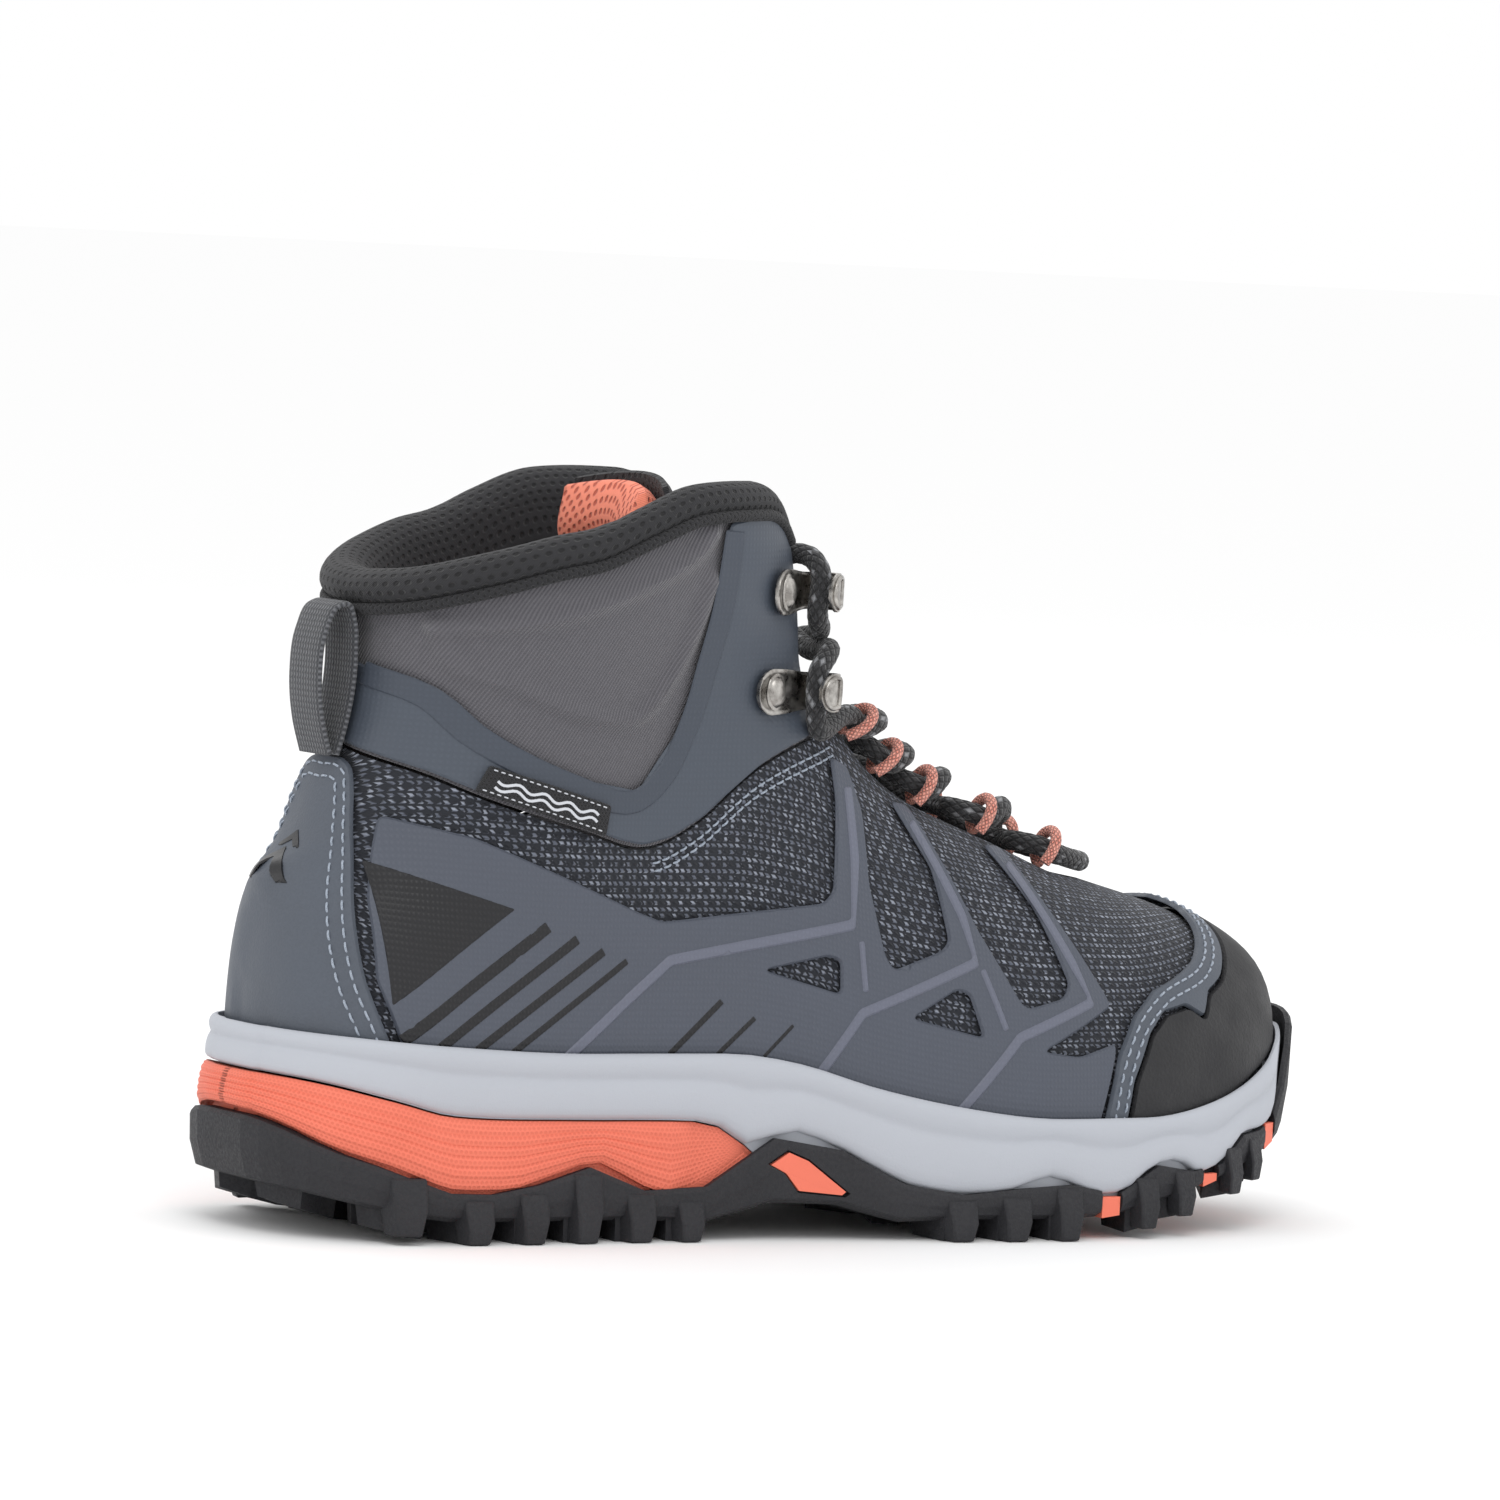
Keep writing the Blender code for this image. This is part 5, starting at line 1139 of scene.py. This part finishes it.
def panel(side, label):
    """The soft panel round the ankle, with its embossed swoosh."""
    back, lap = 179.6, 0.7
    rows, across = [], np.linspace(0, 1, 150)
    for t in np.linspace(0, 1, 64):
        front = 28.0
        for _ in range(2):
            angle = back - (back - front) * across
            z = (knit_line(angle) + lap) * (1 - t) + collar_line(angle) * t
            front = eyestay_angle(z)
        rows.append(np.stack([angle, z], -1))
    angle, z = np.moveaxis(np.array(rows), -1, 0)
    grid = shaft_point(side * angle, z)
    u = angle * SHAFT_DEGREE
    lift = 0.0
    for points, height in SWOOSH:
        away = np.full(angle.shape, 1e9)
        for spot in smooth_line(points, 60):
            away = np.minimum(away, np.hypot(u - spot[0], z - spot[1]))
        lift = lift + height * np.exp(-(away / 1.7) ** 2)
    puff = 0.7 * np.clip(np.sin(np.clip((angle - 60) / 115, 0, 1) * math.pi), 0, 1)
    puff *= np.clip((collar_line(angle) - z) / 12, 0, 1)
    puff *= np.clip((z - knit_line(angle) - 6) / 14, 0, 1)
    outer = lifted(grid, (lift + puff)[..., None])
    shell(f"ankle_softshell_{label}", outer, lifted(grid, KNIT[1]), TWILL, np.stack([u, z], -1),
          stands_for=(f"ankle_panel_{label}",), slot="grey_twill")


def film(side, label):
    """The welded border of the ankle panel, and a raised band along its inner edge."""
    inner = [(179.4, 119), (155, 114), (143, 106.5), (115, 97), (88, 94.5), (72, 108), (67, 125),
             (62.5, 151)]
    collar = [(a, float(collar_line(a)) - 0.8) for a in (50, 40, 32)]
    front = [(float(eyestay_angle(z)) + 0.4, z) for z in (146, 135, 122, 110)]
    foot = [(a, float(knit_line(a)) + 1.2)
            for a in (29, 35, 42, 50, 60, 72, 85, 95, 106, 120, 140, 153, 165, 179.4)]
    outline = [(a * SHAFT_DEGREE, z) for a, z in inner + collar + front + foot]
    conform(f"ankle_border_{label}", outline, ankle(side), FILM, FILM_BLUE, spacing=2.6,
            stands_for=(f"ankle_film_{label}",), slot="blue_grey_film")
    line = ((174, 116.5), (155, 112.5), (143, 104.8), (115, 95.4), (88, 92.6), (76, 99),
            (69.5, 108), (64.5, 125), (60.5, 149.5))
    band = bands(smooth_line([(a * SHAFT_DEGREE, z) for a, z in line], 40), 5.0)
    conform(f"ankle_band_{label}", band, ankle(side), BAND, FILM_BAND,
            spacing=2.6, radius=0.6, bevel=0.3, slot="blue_grey_film")


OVERLAY_TOP = [(24.9, 54), (24.9, 70), (28.8, 87.5), (45, 84), (83, 69), (89, 67), (128, 71),
               (130.5, 73.5), (132.5, 93), (132, 101.5), (137, 99.5), (140, 90), (140, 75),
               (143, 60), (145, 57), (157, 61), (159, 63), (157.5, 78), (151, 91.5), (156, 90.5),
               (161, 79), (167, 65), (176, 50), (178, 49), (187, 51), (189, 54), (184, 69),
               (176.5, 82), (181.5, 81.5), (187.5, 70), (199, 51), (199.5, 49), (181, 40),
               (190, 38.8), (200, 41.5), (199.8, 39), (195.5, 25)]
OVERLAY_HOLES = [[(114, 57), (129, 60), (132, 59), (132, 52)],
                 [(149, 47), (160, 53), (163, 52), (166, 43)]]
PRINT_LINES = (([(62, 35), (67, 38.5), (91, 59), (135, 66.5), (136.2, 80), (136, 95)], 2.4),
               ([(124, 31), (127, 34.5), (137, 48), (165, 58.5), (163, 68), (155, 87)], 2.2),
               ([(157, 24.5), (161, 28), (175, 43), (194, 50), (190.5, 58), (180.5, 78)], 2.2),
               ([(137, 63), (137.8, 52.5)], 1.4), ([(166.5, 57), (171.5, 44.5)], 1.4))
PRINT_STRIPES = (([(61, 66), (29.5, 42)], 2.6), ([(68, 63.5), (35, 39)], 2.2),
                 ([(74.5, 61), (43.5, 38.6)], 2.0), ([(80.5, 59), (52.5, 38.6)], 1.6),
                 ([(104, 50.5), (92, 39.2)], 1.5), ([(112, 47), (103.5, 39.2)], 1.2),
                 ([(121, 45.5), (114.5, 38.8)], 0.9))


def knit_seam(side, label):
    angle = np.linspace(24, 80, 80)
    lines = [shaft_point(side * angle, knit_line(angle) - drop, 0.15) for drop in (3.2, 5.0)]
    stitches(f"knit_seam_{label}", lines, length=1.9, gap=0.5, radius=0.24, slot="black_grey_knit")


def overlay(side, label):
    """The film welded over the knit, with the lines, stripes and corner printed on it."""
    place = flank(side)
    foot = [(x, float(welt(x)) - 4) for x in (195, 170, 150, 130, 110, 85, 60, 40)]
    conform(f"welded_overlay_{label}", [*OVERLAY_TOP, *foot, (31, 37)], place, OVERLAY,
            OVERLAY_BLUE, OVERLAY_HOLES, spacing=2.6, radius=1.6, uv_of=wrap_uv,
            stands_for=(f"overlay_{label}",), slot="blue_grey_film")
    prints = (("raised_line", PRINT_LINES, RAISED_PRINT, LINE_PRINT, 0.8, 0.35),
              ("print_stripe", PRINT_STRIPES, FLAT_PRINT, DARK_PRINT, 0.3, 0.2))
    for kind, lines, layer, look, radius, bevel in prints:
        for number, (line, width) in enumerate(lines, 1):
            conform(f"{kind}_{number}_{label}", bands(line, width), place, layer, look, spacing=2.0,
                    radius=radius, bevel=bevel, uv_of=wrap_uv, slot="blue_grey_film")
    conform(f"print_corner_{label}", [(25.6, 78), (53.5, 69.5), (27.6, 49)], place, FLAT_PRINT,
            DARK_PRINT, spacing=2.4, radius=0.6, bevel=0.2, uv_of=wrap_uv, slot="blue_grey_film")


def toe():
    """The black bumper, the leather round it, and two rows of stitching along the leather."""
    edge = [(-a, b) for a, b in CAP_EDGE[:0:-1]] + list(CAP_EDGE)
    foot = [(a, float(toe_foot(a)) + 1) for a in range(80, -81, -10)]
    conform("toe_bumper", [(a * TOE_DEGREE, b * TOE_DEGREE) for a, b in edge + foot], toe_point,
            CAP, CAP_BLACK, spacing=2.2, radius=1.6, stands_for=("toe_cap",), slot="black_leather")
    outer = list(RAND_EDGE) + [(-a, b) for a, b in RAND_EDGE[-2::-1]]
    shifted = []
    for a, b in edge:
        shifted.append((a + math.copysign(0.9 if abs(a) > 60 else 0.0, a),
                        b + (1.0 if b > 14 else 0.2)))
    shifted[0], shifted[-1] = (-93.6, -13.0), (93.6, -13.0)
    conform("toe_surround", [(a * TOE_DEGREE, b * TOE_DEGREE) for a, b in outer + shifted],
            toe_point, CAP, LEATHER, spacing=2.0, radius=1.2, stands_for=("toe_rand",),
            slot="blue_grey_leather")
    route = smooth_line(np.array(outer) * TOE_DEGREE, 160)
    lines = [toe_point(*beside(route, distance).T, CAP[0] + STITCH_LIFT) for distance in (2.3, 4.9)]
    stitches("toe_stitching", lines, slot="blue_grey_leather")


def heel():
    """The leather patch on the heel, its stitching, and a plain double chevron as a mark."""
    half = [(0, 98.3), (9, 98.3), (15, 96.5), (18.3, 92), (22.5, 81), (27, 70), (34, 54), (41, 42),
            (42.5, 37.8)]
    foot = [(20, 38.6), (0, 39.2), (-20, 38.6)]
    mirror = [(-a, z) for a, z in half[:0:-1]]
    conform("heel_patch", [(a * HEEL_DEGREE, z) for a, z in half + foot + mirror], heel_point, CAP,
            LEATHER, spacing=2.4, radius=2.0, stands_for=("heel_cap",), slot="blue_grey_leather")
    route = smooth_line([(a * HEEL_DEGREE, z) for a, z in mirror + half], 200)
    lines = [heel_point(*beside(route, -distance).T, CAP[0] + STITCH_LIFT)
             for distance in (2.0, 4.6)]
    stitches("heel_stitching", lines, slot="blue_grey_leather")
    for number, (low, a) in enumerate(((72.0, 6.4), (78.0, 4.4)), 1):
        chevron = [(-a, low), (0, low + a * 0.95), (a, low), (a - 2.2, low),
                   (0, low + a * 0.95 - 2.6), (2.2 - a, low)]
        conform(f"heel_mark_{number}", chevron, heel_point, MARK, MARK_BLACK, spacing=0.9,
                radius=0.25, bevel=0.12, slot="black_plastic")


def tag():
    """The side label: a sewn tag with two plain wavy lines on it."""
    place = flank(-1)
    corners = np.array([(48, 99), (74, 91.5), (73, 85), (45, 93.5)], float)
    conform("side_tag", corners, place, TAG_SHEET, TAG, spacing=1.6, radius=0.7, bevel=0.2,
            stands_for=("side_label",), slot="black_plastic")

    def spots(s, t):
        low = corners[3] + (corners[2] - corners[3]) * s[:, None]
        high = corners[0] + (corners[1] - corners[0]) * s[:, None]
        return low + (high - low) * np.reshape(t, (-1, 1))

    s = np.linspace(0.1, 0.9, 33)
    for number, base in enumerate((0.34, 0.56), 1):
        line = spots(s, base + 0.085 * np.sin(s * 2 * math.pi * 5))
        conform(f"tag_wave_{number}", bands(line, 0.65), place, TAG_WAVE, TAG_PRINT, spacing=0.8,
                radius=0.1, bevel=0.08, slot="black_plastic")
    edges = [spots(np.linspace(0.03, 0.97, 30), t) for t in (0.12, 0.88)]
    stitches("tag_stitching", [place(*edge.T, TAG_SHEET[0] + STITCH_LIFT) for edge in edges],
             TAG_PRINT, length=1.0, gap=0.6, radius=0.16, slot="black_plastic")


def collar():
    angle = np.concatenate([np.linspace(-27, -60, 16), np.linspace(-62, -298, 110),
                            np.linspace(-300, -333, 16)])
    apart = np.where(angle < -180, angle + 360, angle)
    line = collar_line(np.abs(apart))
    foot = knit_line(np.abs(apart)) + 1.5
    taper = curve((27, 0.3), (46, 1), (180, 1))(np.abs(apart))
    section = np.array(COLLAR_SECTION)
    ring = np.vstack([section, section[:1]])
    fine = smooth_route(ring[:, :3] * (1, 1, 24), 78)[:-1] / (1, 1, 24)
    rings = []
    for out, rise, down in fine:
        depth = np.where(out > -1.8, out, -1.8 + (out + 1.8) * taper)
        rings.append(lifted(shaft_point(apart, (line + rise) * (1 - down) + foot * down),
                            depth[:, None]))
    rings = np.stack(rings, 1)
    count, around = rings.shape[:2]
    lengths = np.linalg.norm(np.diff(rings, axis=0), axis=-1).mean(1)
    u = np.concatenate([[0], np.cumsum(lengths)])
    steps = np.linalg.norm(np.roll(rings, -1, 1) - rings, axis=-1).mean(0)
    v = np.concatenate([[0], np.cumsum(steps)[:-1]])
    uv = np.stack(np.broadcast_arrays(u[:, None], v[None]), -1).reshape(-1, 2)
    made = piece("collar_roll", rings.reshape(-1, 3), ring_faces(count, around), BLACK_MESH, uv,
                 stands_for=("collar_padding",), slot="black_mesh", sharp=60)
    # The bound edge where the collar meets the ankle panels.
    rim = shaft_point(apart, line - 0.4, 1.5)
    cords("collar_piping", [rim], 1.25, BLACK_BINDING, sides=12, slot="black_mesh")


def tongue_pieces():
    rows, across = 90, 44
    travel = np.linspace(0, 1, rows)[:, None, None]
    face = tongue_face(rows, across)
    inward = unit(np.cross(np.gradient(face, axis=0), np.gradient(face, axis=1)))
    skin = curve((0, 2.0), (0.3, 3.0), (1, 3.2))(travel)
    puff = curve((0, 1.2), (0.3, 2.0), (0.7, 3.5), (0.84, 7.5), (0.95, 9.5), (1, 6.0))(travel)
    side = np.abs(np.linspace(-1, 1, across))[None, :, None]
    edge = (1 - side ** 6) ** 0.5
    tip = np.clip((1 - travel) / 0.03, 0, 1) ** 0.5
    middle = face + inward * skin / 2
    half = inward * skin / 2 * (0.35 + 0.65 * edge * tip)
    u = np.cumsum(np.linalg.norm(np.diff(face, axis=1, prepend=face[:, :1]), axis=-1), 1)
    v = np.cumsum(np.linalg.norm(np.diff(face, axis=0, prepend=face[:1]), axis=-1), 0)
    uv = np.stack([u - u[:, -1:] / 2, v], -1)
    shell("tongue_skin", middle - half, middle + half, BLACK_MESH, uv, body="tongue",
          stands_for=("tongue",), slot="black_mesh", sharp=60)
    narrow = curve((0, 0.7), (0.25, 0.85), (0.6, 1), (1, 1))(travel)
    spine = face[:, across // 2 - 1:across // 2 + 1].mean(1, keepdims=True)
    base = spine + (face - spine) * narrow + inward * (skin + GAP)
    centre_line = base + inward * puff / 2
    full = puff / 2 * (0.25 + 0.75 * edge * tip)
    made = shell("tongue_padding", centre_line - inward * full, centre_line + inward * full * 1.15,
                 CORAL_MESH, uv, body="tongue", stands_for=("tongue_lining",), slot="coral_mesh",
                 sharp=60)


def strap():
    route = smooth_route([(x, 0, z) for x, z in PULL_ROUTE], 110)
    along = unit(np.gradient(route, axis=0))
    out = np.stack([along[:, 2], 0 * along[:, 0], -along[:, 0]], -1)
    profile = np.array([(-6.5, 0), (-6.3, 0.42), (-5.6, 0.62), (-2, 0.6), (2, 0.6), (5.6, 0.62),
                        (6.3, 0.42), (6.5, 0), (6.3, -0.42), (5.6, -0.62), (2, -0.6), (-2, -0.6),
                        (-5.6, -0.62), (-6.3, -0.42)])
    points = route[:, None] + out[:, None] * profile[:, 1:] + np.eye(3)[1] * profile[:, :1]
    count, around = points.shape[:2]
    uv = np.stack(np.broadcast_arrays(profile[:, 0], reach_along(route)[:, None]), -1)
    piece("pull_strap", points.reshape(-1, 3), ring_faces(count, around), WEBBING,
          uv.reshape(-1, 2), body="pull_loop", stands_for=("pull_loop",), slot="grey_webbing",
          sharp=50)


# ---------------------------------------------------------------- sole
def ring_stack(name, rows, look, columns=None, **more):
    if columns:
        rows = [np.concatenate([row[:columns], row[-columns:]]) for row in rows]
    grid = np.array(rows)
    levels, count = grid.shape[:2]
    lengths = np.linalg.norm(np.roll(grid, -1, 1) - grid, axis=-1).mean(0)
    u = np.concatenate([[0], np.cumsum(lengths)[:-1]])
    v = np.concatenate([[0], np.cumsum(np.linalg.norm(np.diff(grid, axis=0), axis=-1).mean(1))])
    faces = grid_faces(levels, count, True)
    top = (levels - 1) * count
    for k in range(count // 2 - 1):
        other = count - 1 - k
        faces.append((k, k + 1, other - 1, other))
        faces.append((top + k, top + k + 1, top + other - 1, top + other))
    uv = np.stack(np.broadcast_arrays(u[None], v[:, None]), -1).reshape(-1, 2)
    return piece(name, grid.reshape(-1, 3), faces, look, uv, **more)


def between(low, high, share):
    return low + (high - low) * share


def sculpted_midsole():
    over_wedge = RING_X < HEEL_LEDGE_X
    bottom = np.where(RING_X <= WEDGE_X + 0.01, wedge_top(RING_X), tray_floor(RING_X)) + GAP
    rim = welt(RING_X) + 0.6
    edge = np.where(over_wedge, bottom + 0.1, rubber_edge(RING_X) + 0.25)
    edge = np.clip(edge, bottom + 0.1, rim - 0.9)
    low = np.where(over_wedge, 3.4, 2.3 + 1.1 * TOE_BLEND)
    out = 4.3 - 0.9 * TOE_BLEND
    inner = RIM_GAP - 0.3 * TOE_BLEND
    tall = np.clip((rim - edge) / 11, 0, 1)
    # Share of the height, and how far out: a bulge, a groove, then the bead under the rim.
    profile = ((0.0, -0.9), (0.03, -0.25), (0.08, 0.25), (0.18, 0.5), (0.3, 0.55), (0.42, 0.42),
               (0.5, 0.2), (0.56, -0.12), (0.6, -0.25), (0.63, -0.15), (0.67, 0.1), (0.74, 0.4),
               (0.82, 0.5), (0.9, 0.36), (0.96, -0.05), (0.99, -0.6), (1.0, -0.95))
    rows = [sole_ring(low, z, 1.4, 0.6) for z in (bottom, edge)]
    swirl = 0.8 * np.sin((RING_X - 120) / 24.0) * np.clip((RING_X - 120) / 20, 0, 1)
    for share, bulge in profile:
        shaped = np.maximum(out + bulge * tall - 0.1, inner + 0.45)
        height = between(edge + 0.1, rim, share) + swirl * math.sin(share * math.pi) * tall
        rows.append(sole_ring(shaped, height, 1.8 - 1.2 * share, 0.6))
    rows += [sole_ring(inner, z, 0.9, 0.3) for z in (rim - 0.1, cup_floor(RING_X))]
    ring_stack("midsole_foam", rows, FOAM, stands_for=("midsole",), slot="light_grey_foam")


def ridged_wedge():
    """The heel wedge, with ridges along its side."""
    top = wedge_top(RING_X)
    step = np.minimum(rubber_edge(RING_X) + 0.9, top - 0.9)
    ledge = RING_X < WEDGE_LEDGE_X
    out = np.where(ledge, 4.2, 2.3)
    rows = [sole_ring(2.3, z, 1.8, 0) for z in (tray_floor(RING_X) + GAP, step)]
    fade = np.clip((top - step) / 6, 0, 1) * ledge
    for share in np.arange(61) / 60:
        ridge = 0.32 * abs(math.sin(share * math.pi * 6.5)) ** 0.6 * (0.15 < share < 0.97)
        lean = 0.35 * math.sin(share * math.pi)
        pinch = 0.5 * (abs(share - 0.5) * 2) ** 8
        rows.append(sole_ring(out + (ridge + lean - pinch) * fade, between(step + 0.1, top, share),
                              np.where(ledge, 3.4 - 1.2 * share, 1.8), 0))
    ring_stack("wedge_foam", rows, WEDGE_CORAL, columns=RING_HEEL + 1, stands_for=("heel_wedge",),
               slot="coral_foam")


def side_lug(x, side, length, low, high, depth=2.2, root=2.6):
    """A tapered block on the outsole's edge: wide at its root, narrow at its foot."""
    points = []
    for z, half, reach in ((low, length * 0.36, depth * 0.75),
                           (low + (high - low) * 0.45, length * 0.46, depth),
                           (high, length * 0.5, depth * 0.2)):
        for across, out in ((-1, 0), (-0.72, 1), (0.72, 1), (1, 0)):
            px = x + across * half
            points.append((px, side * (edge_half(px, side) + (reach - 0.2 if out else -root)), z))
    faces = [(0, 1, 2, 3), (8, 9, 10, 11)]
    for level in (0, 4):
        for s in range(4):
            a, b = level + s, level + (s + 1) % 4
            faces.append((a, b, b + 4, a + 4))
    return points, faces


LUGS = ((30, 10), (46, 9), (59, 9), (72, 9), (85, 9), (97, 8), (160, 9), (173, 9), (186, 8.5),
        (207, 7.5), (217.5, 7.5), (234, 7), (242.5, 6.5))


def lugs():
    points, faces = [], []
    for side, _ in SIDES:
        for x, length in LUGS:
            low, high = float(max(ground(x), 0)) + 0.15, float(rubber_edge(x)) - 1.2
            p, f = side_lug(x, side, length, low, high)
            faces += [tuple(i + len(points) for i in face) for face in f]
            points += p
    made = piece("edge_lugs", points, faces, RUBBER, np.array(points)[:, ::2],
                 slot="charcoal_rubber", sharp=30)
    soften(made, 0.5)


def soften(obj, width):
    """Rounds the edges a little, for the light to catch."""
    bevel = obj.modifiers.new("edges", "BEVEL")
    bevel.width = width * MM
    bevel.segments = 2
    bevel.limit_method = "ANGLE"
    bevel.angle_limit = math.radians(30)
    bevel.harden_normals = False


# ---------------------------------------------------------------- lacing
def braid(reach, turn, pitch=4.4):
    way = reach * 2 * math.pi / pitch
    return 1 + 0.035 * np.sin(turn * 4 + way) * np.sin(turn * 4 - way)


def lacing():
    route = smooth_route(lace(), 1500)
    cords("lace_cord", [route], LACE_R, LACE_CORD, sides=20, detail=braid, stands_for=("lace",),
          slot="black_cord")
    for side, label in SIDES:
        for number, alpha in enumerate(EYELET_ALPHA, 1):
            points = [edge_point(alpha, side, 1.8, 2.4, 1.75)]
            for step, turn in enumerate(np.radians(np.linspace(8, 260, 8))):
                points.append(edge_point(alpha, side, 1.1 - 0.3 * step,
                                         LACE_BEYOND + CORD_LOOP_R * math.cos(turn),
                                         LACE_LIFT + CORD_LOOP_R * math.sin(turn)))
            cords(f"cord_loop_{label}_{number}", [smooth_route(points, 70)], LOOP_R, LOOP_CORD,
                  sides=12, stands_for=(f"lace_loop_{label}_{number}",), slot="coral_cord")


def hook_plate(place, forward, out, up):
    """A rounded plate that narrows forward, rolls over outward and comes back as a tongue."""
    path = smooth_line(((-0.5, 0), (4, 0), (7.5, 0), (10.8, 0.3), (13.0, 1.9), (13.6, 4.3),
                        (12.8, 6.7), (10.8, 7.9), (8.4, 8.2), (5.6, 7.9)), 60)
    share = reach_along(path) / reach_along(path)[-1]
    half = curve((0, 4.9), (0.15, 4.7), (0.3, 4.2), (0.5, 3.9), (0.7, 4.0), (0.86, 4.1),
                 (0.93, 3.6), (0.97, 2.6), (1, 1.0))(share)
    back = np.linspace(-5.4, -0.5, 16, endpoint=False)
    path = np.vstack([np.stack([back, 0 * back], -1), path])
    half = np.concatenate([4.9 * np.sqrt(np.clip(1 - ((back + 0.5) / 5.0) ** 2, 0.03, 1)), half])
    along = unit(np.gradient(path, axis=0))
    face = np.stack([-along[:, 1], along[:, 0]], -1)
    profile = ((-1, -0.25), (-0.96, -0.45), (0.96, -0.45), (1, -0.25), (1, 0.25), (0.94, 0.45),
               (0.78, 0.5), (0.7, 0.36), (-0.7, 0.36), (-0.78, 0.5), (-0.94, 0.45), (-1, 0.25))
    points = []
    for (a, b), (fa, fb), h in zip(path, face, half):
        for across, over in profile:
            points.append(place + forward * (a + fa * over) + out * (b + fb * over + HOOK_PLATE)
                          + up * across * h)
    return points, ring_faces(len(path), len(profile))


def hook_dome(place, out, up, wide=2.5, tall=3.3, sides=28):
    """The rivet's oval head, with a rim round its foot."""
    across = np.cross(out, up)
    profile = ((1.22, 0.0), (1.2, 0.22), (1.08, 0.38), (1.0, 0.4), (0.97, 0.55), (0.86, 0.98),
               (0.68, 1.3), (0.45, 1.5), (0.2, 1.6))
    turns = 2 * math.pi * np.arange(sides) / sides
    points = [place + out * rise + across * math.cos(turn) * radius * wide
              + up * math.sin(turn) * radius * tall for radius, rise in profile for turn in turns]
    return points, ring_faces(len(profile), sides)


def hooks():
    for side, label in SIDES:
        for number, z in enumerate(HOOK_Z, 1):
            place, forward, out, up = hook_frame(side, z)
            points, faces = hook_plate(place, forward, out, up)
            piece(f"hook_{label}_{number}", points, faces, NICKEL,
                  stands_for=(f"lace_hook_{label}_{number}",), slot="antique_nickel", sharp=50)
            dome, dome_faces = hook_dome(place + out * (HOOK_PLATE + 0.45), out, up)
            piece(f"rivet_{label}_{number}", dome, dome_faces, NICKEL,
                  stands_for=(f"hook_rivet_{label}_{number}",), slot="antique_nickel", sharp=50)
            # The raised D on the tongue of the hook.
            tip = place + out * (HOOK_PLATE + 8.7)
            ring = [(11.6, -2.9), (8.6, -3.0), (7.2, -1.9), (6.6, 0), (7.2, 1.9), (8.6, 3.0),
                    (11.6, 2.9), (12.0, 0), (11.6, -2.9)]
            route = smooth_route([tip + forward * a + up * c - out * 0.25 * max(0, a - 9.5)
                                  for a, c in ring], 60)
            cords(f"hook_rim_{label}_{number}", [route], 0.55, NICKEL, sides=8,
                  slot="antique_nickel")


# ---------------------------------------------------------------- what stays from the frame
def keep(name, look, edge=0.0):
    node = NODES[name]
    node.data.materials.clear()
    node.data.materials.append(look)
    if edge:
        soften(node, edge)


def kept_nodes():
    keep("outsole", RUBBER, 0.5)
    for number in (1, 2, 3):
        keep(f"flex_insert_{number}", CORAL, 0.3)
    for _, label in SIDES:
        keep(f"arch_insert_{label}", CORAL, 0.3)
    keep("footbed_cover", LINING, 0.4)
    keep("footbed_foam", CORAL)
    keep("lasting_board", BOARD)
    keep("shank", STIFF)


# ---------------------------------------------------------------- stage, light and camera
def stage():
    mesh = bpy.data.meshes.new("floor")
    far = 20        # metres
    mesh.from_pydata([(-far, -far, 0), (far, -far, 0), (far, far, 0), (-far, far, 0)], [],
                     [(0, 1, 2, 3)])
    floor = bpy.data.objects.new("floor", mesh)
    look = Look("floor_white", (0.98, 0.98, 0.98), 0.9, specular=0.0)
    mesh.materials.append(look.made)
    bpy.context.scene.collection.objects.link(floor)
    world = bpy.data.worlds.new("studio")
    bpy.context.scene.world = world
    world.use_nodes = True
    sky = world.node_tree.nodes["Background"]
    sky.inputs["Color"].default_value = (1, 1, 1, 1)
    sky.inputs["Strength"].default_value = 1.0
    for name, place, size, power in (("key", (-0.7, -1.2, 1.7), 0.9, 9),
                                     ("fill", (1.3, -0.9, 0.9), 1.2, 1.5),
                                     ("back", (0.2, 1.4, 1.4), 1.2, 4),
                                     ("side", (-1.5, 0.3, 0.8), 0.8, 1.5)):
        light = bpy.data.lights.new(name, "AREA")
        light.size = size
        light.energy = power
        lamp = bpy.data.objects.new(name, light)
        lamp.location = place
        aim = Vector((0, 0, 0.07)) - Vector(place)
        lamp.rotation_euler = aim.to_track_quat("-Z", "Y").to_euler()
        bpy.context.scene.collection.objects.link(lamp)


def camera():
    """The photograph's view: the outer side and heel from 2 m off, with a little roll."""
    turn, rise, roll = math.radians(-32), math.radians(3.5), math.radians(3)
    back = Vector((math.sin(turn) * math.cos(rise), -math.cos(turn) * math.cos(rise),
                   math.sin(rise)))
    right = Vector((math.cos(turn), math.sin(turn), 0))
    up = back.cross(right)
    cos, sin = math.cos(roll), math.sin(roll)
    right, up = cos * right + sin * up, cos * up - sin * right
    target = (Vector((129, 0, 101)) - Vector(ORIGIN)) * MM
    data = bpy.data.cameras.new("camera")
    data.lens = 224
    data.sensor_width = 36
    data.clip_end = 50
    made = bpy.data.objects.new("camera", data)
    facing = Matrix((right, up, back)).transposed().to_4x4()
    made.matrix_world = Matrix.Translation(target + back * 2.0) @ facing
    bpy.context.scene.collection.objects.link(made)
    bpy.context.scene.camera = made


knit()
for side, name in SIDES:
    panel(side, name)
    film(side, name)
    knit_seam(side, name)
    overlay(side, name)
toe()
heel()
tag()
collar()
tongue_pieces()
strap()
sculpted_midsole()
ridged_wedge()
lugs()
lacing()
hooks()
kept_nodes()
stage()
camera()
bpy.context.scene.view_settings.view_transform = "Standard"
